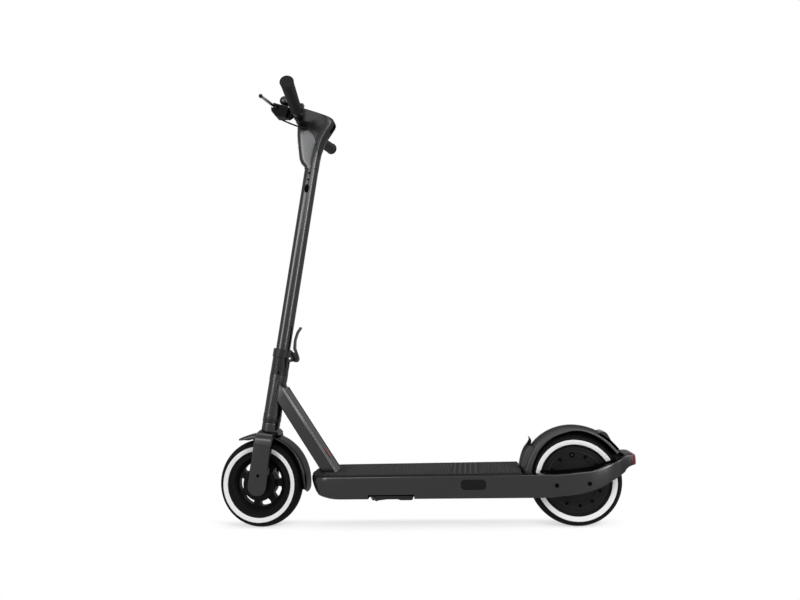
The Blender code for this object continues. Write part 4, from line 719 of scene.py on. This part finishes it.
def build_front_fender(mats):
    """Front fender whose two ends reach furthest in the middle."""
    drops = [(0.0, 0.0036), (0.028, 0.0078), (0.10, 0.0147), (0.17, 0.0137), (0.20, 0.0127),
             (0.40, 0.0050), (0.62, 0.0047), (0.70, 0.0067), (0.79, 0.0082), (0.87, 0.0084),
             (0.93, 0.0076), (1.0, 0.0046)]
    start = 127.0
    start_bow = 2.5
    end = -0.6
    end_bow = 5.5
    width = 0.0300
    steps = 64
    rings = []
    for i in range(steps + 1):
        k = i / steps
        drop = smooth_value(drops, k)
        ring = []
        for d, y in fender_section(drop, width, min(0.0080, drop * 0.62), 0.0085, 6, 0.35):
            across = min(1.0, abs(y) / width) ** 2
            first = start - start_bow * across
            last = end + end_bow * across
            a = radians(first + (last - first) * k)
            r = FENDER_RADIUS - d
            ring.append((r * cos(a), y, r * sin(a)))
        rings.append(ring)
    piece("front_fender_shell", fender_skin(rings), [mats["black_paint"], mats["deep_black"]],
          "steering", TO_STEERING, smooth=40, node="front_fender")
    block = rounded([(-0.0130, 0.1418, 0.002), (0.0130, 0.1418, 0.002),
                     (0.0130, 0.1463, 0.001), (-0.0130, 0.1463, 0.001)], 2)
    piece("front_fender_block", prism_y(block, -0.0120, 0.0120), [mats["grey_paint"]],
          "steering", TO_STEERING)


def fender_foot():
    """Foot of the rear fender on the deck, with rounded sides."""
    front = [(0.7502, 0.1652), (0.7528, 0.1771), (0.7563, 0.1885), (0.7610, 0.2000),
             (0.7668, 0.2103), (0.7735, 0.2180)]
    sides = []
    for y, inset in ((-0.0305, 0.0045), (-0.0295, 0.0022), (-0.0265, 0.0006), (-0.0220, 0.0),
                     (0.0220, 0.0), (0.0265, 0.0006), (0.0295, 0.0022), (0.0305, 0.0045)):
        foot = [(x + inset, z - inset * 0.3) for x, z in front] + [(0.7833, 0.2195 - inset * 0.4)]
        foot += arc(REAR_AXLE, 0.1370, 140.5, 163.5, 4)
        sides.append([(x, y, z) for x, z in foot])
    return loft(sides)


def build_rear_fender(mats):
    """Rear fender, from its foot on the deck to the plate holder."""
    drops = [(173, 0.0260), (160, 0.0243), (150, 0.0236), (140, 0.0210), (130, 0.0196),
             (120, 0.0174), (110, 0.0163), (100, 0.0152), (90, 0.0122), (80, 0.0112),
             (70, 0.0123), (60, 0.0133), (50, 0.0146), (40, 0.0152), (32, 0.0145)]
    start = drops[0][0]
    spread = start - drops[-1][0]
    table = [((start - a) / spread, d) for a, d in drops]
    steps = 60
    rings = []
    for i in range(steps + 1):
        k = i / steps
        a = radians(start - spread * k)
        drop = smooth_value(table, k)
        ring = []
        for d, y in fender_section(drop, 0.0310, min(0.0155, drop * 0.9), 0.0170, 8, 0.2, 0.0030):
            r = REAR_FENDER_RADIUS - d
            ring.append((WHEELBASE + r * cos(a), y, TYRE_RADIUS + r * sin(a)))
        rings.append(ring)
    piece("rear_fender_shell", merge([fender_skin(rings), fender_foot()]),
          [mats["fender_paint"], mats["deep_black"]], "chassis", TO_ROOT, smooth=40,
          node="rear_fender")


def build_fender_hook(mats):
    """Curved hook on the rear fender's foot, which holds the folded stem."""
    left = [(0.7493, 0.1655), (0.7519, 0.1686), (0.7536, 0.1795), (0.7567, 0.1903),
            (0.7606, 0.2012), (0.7657, 0.2115), (0.7720, 0.2207), (0.7768, 0.2277),
            (0.7798, 0.2330), (0.7794, 0.2372), (0.7781, 0.2422)]
    right = [(0.7826, 0.2385), (0.7854, 0.2335), (0.7865, 0.2286), (0.7850, 0.2231),
             (0.7822, 0.2183), (0.7760, 0.2170), (0.7690, 0.2100), (0.7630, 0.1995),
             (0.7585, 0.1885), (0.7552, 0.1771), (0.7515, 0.1655)]
    piece("fender_hook_blade", prism_y(left + right, -0.0050, 0.0050), [mats["wheel_black"]],
          "chassis", TO_ROOT, smooth=50, node="fender_hook")


def build_plate_holder(mats):
    """Wedge behind the rear fender, which holds the number plate."""
    top = [(1.0070, 0.2055), (1.0002, 0.2181), (0.9911, 0.2371), (0.9858, 0.2478),
           (0.9816, 0.2515), (0.9752, 0.2532), (0.9684, 0.2524), (0.9629, 0.2490)]
    sides = []
    for y, inset in ((-0.0290, 0.0016), (-0.0272, 0.0), (0.0180, 0.0), (0.0200, 0.0016)):
        ring = [(x - inset * 0.7, z - inset * 0.7) for x, z in top]
        ring += arc(REAR_AXLE, 0.1432, 61, 34.5, 5)
        sides.append([(x, y, z) for x, z in ring])
    piece("plate_holder_wedge", loft(sides), [mats["grey_paint"]], "chassis", TO_ROOT,
          smooth=40, node="plate_holder")


# Frame and deck

def beam_point(place, across, y):
    """Point of the diagonal beam's surface, from its own section coordinates."""
    top = Vector((BEAM_TOP[0], 0, BEAM_TOP[1]))
    foot = Vector((BEAM_FOOT[0], 0, BEAM_FOOT[1]))
    ahead = (foot - top).normalized()
    normal = Vector((-ahead.z, 0, ahead.x))
    return top.lerp(foot, place) + normal * across + Vector((0, y, 0))


def weld_point(across, y):
    """Place where a line along the beam's surface leaves the head tube, found by halving."""
    to_tube = TO_STEERING.inverted() @ TO_ROOT
    low = -0.05
    high = 0.5
    for _ in range(30):
        middle = (low + high) / 2
        p = to_tube @ beam_point(middle, across, y)
        if p.x > 0 and Vector((p.x, p.y)).length > HEAD_TUBE_RADIUS + 0.0004:
            high = middle
        else:
            low = middle
    return TO_ROOT @ beam_point(high, across, y)


def build_weld(mats):
    """Weld bead where the beam meets the head tube."""
    half_u, half_y = BEAM_HALF
    section = rounded([(-half_u, -half_y, BEAM_CORNER), (half_u, -half_y, BEAM_CORNER),
                       (half_u, half_y, BEAM_CORNER), (-half_u, half_y, BEAM_CORNER)], 5)
    reach = HEAD_TUBE_RADIUS - 0.0006
    steps = 4
    path = []
    for i, (u, y) in enumerate(section):
        next_u, next_y = section[(i + 1) % len(section)]
        for k in range(steps):
            across = u + (next_u - u) * k / steps
            out = y + (next_y - y) * k / steps
            path.append(weld_point(across, max(-reach, min(reach, out))))
    radii = [0.0019 + 0.0003 * sin(i * 1.7) for i in range(len(path))]
    piece("beam_weld", tube_along(path, radii, 8, closed=True), [mats["grey_paint"]], "chassis",
          smooth=60)


def build_beam_edges(mats):
    """Slightly rounded strips along the two upper edges of the diagonal beam."""
    tilt = radians(36)
    bend = 0.0300
    half_turn = radians(7.5)
    above = 0.0004
    below = -0.0022
    start = 0.035
    length = 0.935
    steps = 24
    corner_u = BEAM_HALF[0] - BEAM_CORNER * (1 - sin(tilt))
    corner_v = BEAM_HALF[1] - BEAM_CORNER * (1 - cos(tilt))
    for label, side in SIDES:
        rings = []
        for k in range(steps + 1):
            place = start + length * k / steps
            ring = []
            for lift, order in ((above, range(-4, 5)), (below, range(4, -5, -1))):
                for i in order:
                    a = tilt + half_turn * i / 4
                    r = bend + lift
                    u = corner_u - bend * sin(tilt) + r * sin(a)
                    v = corner_v - bend * cos(tilt) + r * cos(a)
                    ring.append(beam_point(place, u, side * v))
            rings.append(ring)
        piece("beam_edge_" + label, loft(rings), [mats["grey_paint"]], "chassis", TO_ROOT,
              smooth=30)


def build_cover_shade_strips(mats):
    """Black strips along the inner side of the side covers' upper edges, painting the shade in the
    gap inside the covers.
    """
    line = [(0.8000, 0.1560), (0.8136, 0.1560), (0.8531, 0.1560), (0.8924, 0.1584),
            (0.9318, 0.1640), (0.9582, 0.1712), (0.9820, 0.1786), (0.9960, 0.1850)]
    height = 0.0100
    for label, side in SIDES:
        inner = side * 0.0400
        outer = side * 0.0412
        rings = []
        for x, z in line:
            rings.append([(x, inner, z - height), (x, inner, z), (x, outer, z),
                          (x, outer, z - height)])
        piece("cover_shade_strip_" + label, loft(rings), [mats["deep_black"]], "chassis", TO_ROOT)


def build_crown_boss(mats):
    """Grey boss behind the fork's crown."""
    side = rounded([(0.0180, 0.1440, 0.002), (0.0335, 0.1440, 0.002), (0.0335, 0.1520, 0.003),
                    (0.0250, 0.1592, 0.003), (0.0180, 0.1592, 0.002)], 3)
    piece("crown_boss", prism_y(side, -0.0200, 0.0200), [mats["grey_paint"]], "steering",
          TO_STEERING)


def lozenge(x, y, low, high):
    """Rings of a small raised lozenge on the mat, slanted a little and narrower at its top."""
    half_length = 0.0075
    half_width = 0.0043
    slant = 0.0022 if y > 0 else -0.0022
    rings = []
    for z, scale in ((low, 1.0), (high, 0.72)):
        rings.append([
            (x + scale * half_length + slant, y, z), (x, y + scale * half_width, z),
            (x - scale * half_length + slant, y, z), (x, y - scale * half_width, z),
        ])
    return rings


def mat_nose(y):
    """Where the mat's rounded front edge lies at a place across."""
    past = max(0.0, abs(y) - 0.022) / 0.062
    return 0.1680 + 0.058 * (1 - sqrt(max(0.0, 1 - past ** 2)))


def on_mat(x, y):
    """Whether a lozenge has room on the mat, clear of its edges and of the beam's foot."""
    margin = 0.006
    half_width = 0.0765
    under_beam = x < 0.262 and abs(y) < 0.038
    return abs(y) <= half_width and x >= mat_nose(y) + margin and not under_beam


def build_mat(mats):
    """Raised lozenges of the deck mat, with a band of cross bars, painted lighter than the mat as
    a painted highlight on their raised tops.
    """
    low = MAT_TOP - 0.0003
    high = MAT_TOP + 0.0006
    pitch_x = 0.0098
    pitch_y = 0.0134
    first_row = 0.2130
    mat_end = 0.7440
    bars_start = 0.563
    bars_end = 0.636
    bm = bmesh.new()
    row = 0
    x = first_row
    while x < mat_end:
        if not bars_start < x < bars_end:
            odd = row % 2
            count = 6 - odd
            for k in range(-count, count + 1):
                y = k * pitch_y + odd * pitch_y / 2
                if on_mat(x, y):
                    add_skin(bm, lozenge(x, y, low, high))
        x += pitch_x
        row += 1
    half_length = 0.0770
    half_width = 0.0024
    for k in range(5):
        x = 0.5700 + k * 0.0145
        outline = [(x - half_width, -half_length), (x + half_width, -half_length),
                   (x + half_width, half_length), (x - half_width, half_length)]
        add_skin(bm, [[(u, v, z) for u, v in outline] for z in (low, high)])
    piece("deck_mat_pattern", bm, [mats["mat_pattern_highlight"]], "chassis", TO_ROOT, smooth=20)


def build_screws(mats):
    """Dark screws in the side covers, and in the fork's blades."""
    for label, side in SIDES:
        screws = []
        tree = surface_tree("side_cover_" + label)
        for x, z in ((0.8364, 0.1256), (0.9204, 0.1282)):
            face = side_points(tree, [(x + 0.0062, z)], TO_ROOT, side, 0.0)[0].y
            low, high = sorted((face - side * 0.0050, face + side * 0.0012))
            screws.append(disc_y((x, z), 0.0056, low, high))
        piece("side_screws_" + label, merge(screws), [mats["deep_black"]], "chassis", TO_ROOT)
        low, high = sorted((side * 0.0500, side * 0.0543))
        piece("fork_screw_" + label, disc_y((0.0035, 0.0310), 0.0046, low, high),
              [mats["deep_black"]], "steering", TO_STEERING)


# Stem, head and controls

def build_stem_details(mats):
    """Oval plug and two screws on the near side of the stem."""
    half_width = 0.0068
    half_height = 0.0135
    middle = 0.8905
    turned_back = 0.06
    steps = 28
    rings = []
    for scale, lift in ((1.0, -0.0006), (1.0, 0.0006), (0.86, 0.0012), (0.4, 0.0015)):
        ring = []
        for i in range(steps):
            a = 2 * pi * i / steps
            turn = half_width * scale * cos(a) / STEM_RADIUS + turned_back
            rise = half_height * scale * abs(sin(a)) ** 0.8
            z = middle + (rise if sin(a) >= 0 else -rise)
            r = STEM_RADIUS + lift
            ring.append((r * sin(turn), -r * cos(turn), z))
        rings.append(ring)
    piece("stem_plug", loft(rings), [mats["deep_black"]], "stem", TO_STEERING)
    screws = [disc_y((0.0012, z), 0.0033, -STEM_RADIUS - 0.0005, -STEM_RADIUS + 0.003, 16)
              for z in (0.918, 0.939)]
    piece("stem_screws", merge(screws), [mats["deep_black"]], "stem", TO_STEERING)


def build_fold_details(mats):
    """Black marks that paint the shade in a slit and a notch on the near side of the folding
    joint, and the solid root of its lever.
    """
    tree = surface_tree("fold_block", "fold_base")
    for name, body, path, radius, lift in (
        ("fold_slit_shade", "stem", [(0.0185, 0.3720), (0.0205, 0.3450)], 0.0017, -0.0006),
        ("fold_notch_shade", "steering", [(0.0050, 0.3300), (0.0056, 0.3220)], 0.0040, -0.0032),
    ):
        points = side_points(tree, path, TO_STEERING, -1, lift)
        piece(name, tube_along(points, [radius] * len(points), 12), [mats["deep_black"]], body)
    root = rounded([(0.0240, 0.3665, 0.003), (0.0420, 0.3672, 0.004), (0.0485, 0.3790, 0.005),
                    (0.0430, 0.3905, 0.004), (0.0285, 0.3915, 0.003)], 3)
    piece("fold_lever_root", prism_y(root, -0.0060, 0.0060), [mats["black_plastic"]],
          "fold_lever_body", TO_STEERING)


def build_seam_shade(mats):
    """Black cord in the joint between the casting and the display housing, on both sides, painting
    the shade in the narrow gap.
    """
    seam = [(-0.0261, 1.0744), (-0.0119, 1.0660), (-0.0019, 1.0576), (0.0059, 1.0445),
            (0.0111, 1.0322), (0.0162, 1.0104), (0.0176, 0.9996)]
    path = smooth_path(seam, 4)
    tree = surface_tree("head_casting", "display_housing")
    for label, side in SIDES:
        points = side_points(tree, path, TO_STEERING, side, -0.0004)
        piece("head_seam_shade_" + label, tube_along(points, [0.0008] * len(points), 8),
              [mats["deep_black"]], "stem")


def build_lever_blade(mats):
    """Light metal blade over the brake lever's middle."""
    root = Vector((-0.0710, -0.0955, -0.0018))
    tip = Vector((-0.0713, -0.1900, -0.0161))
    places = (0.14, 0.20, 0.30, 0.45, 0.60, 0.75, 0.88, 0.94)
    radii = (0.0036, 0.0043, 0.0047, 0.0049, 0.0049, 0.0047, 0.0043, 0.0036)
    path = [root.lerp(tip, k) for k in places]
    piece("brake_lever_blade", tube_along(path, radii, 14), [mats["brushed"]],
          "brake_lever_body", TO_BRAKE)


def main():
    """Build the stage and every piece."""
    bpy.context.scene.view_settings.view_transform = "Standard"
    make_camera()
    make_world()
    make_lamps()
    make_floor()
    mats = build_materials()
    dress_nodes(mats)
    build_tyres(mats)
    build_front_drum(mats)
    build_brake_plate(mats)
    build_motor_cover(mats)
    build_fender_shade_sheets(mats)
    build_front_fender(mats)
    build_rear_fender(mats)
    build_fender_hook(mats)
    build_plate_holder(mats)
    build_weld(mats)
    build_beam_edges(mats)
    build_cover_shade_strips(mats)
    build_crown_boss(mats)
    build_mat(mats)
    build_screws(mats)
    build_stem_details(mats)
    build_fold_details(mats)
    build_seam_shade(mats)
    build_lever_blade(mats)


main()
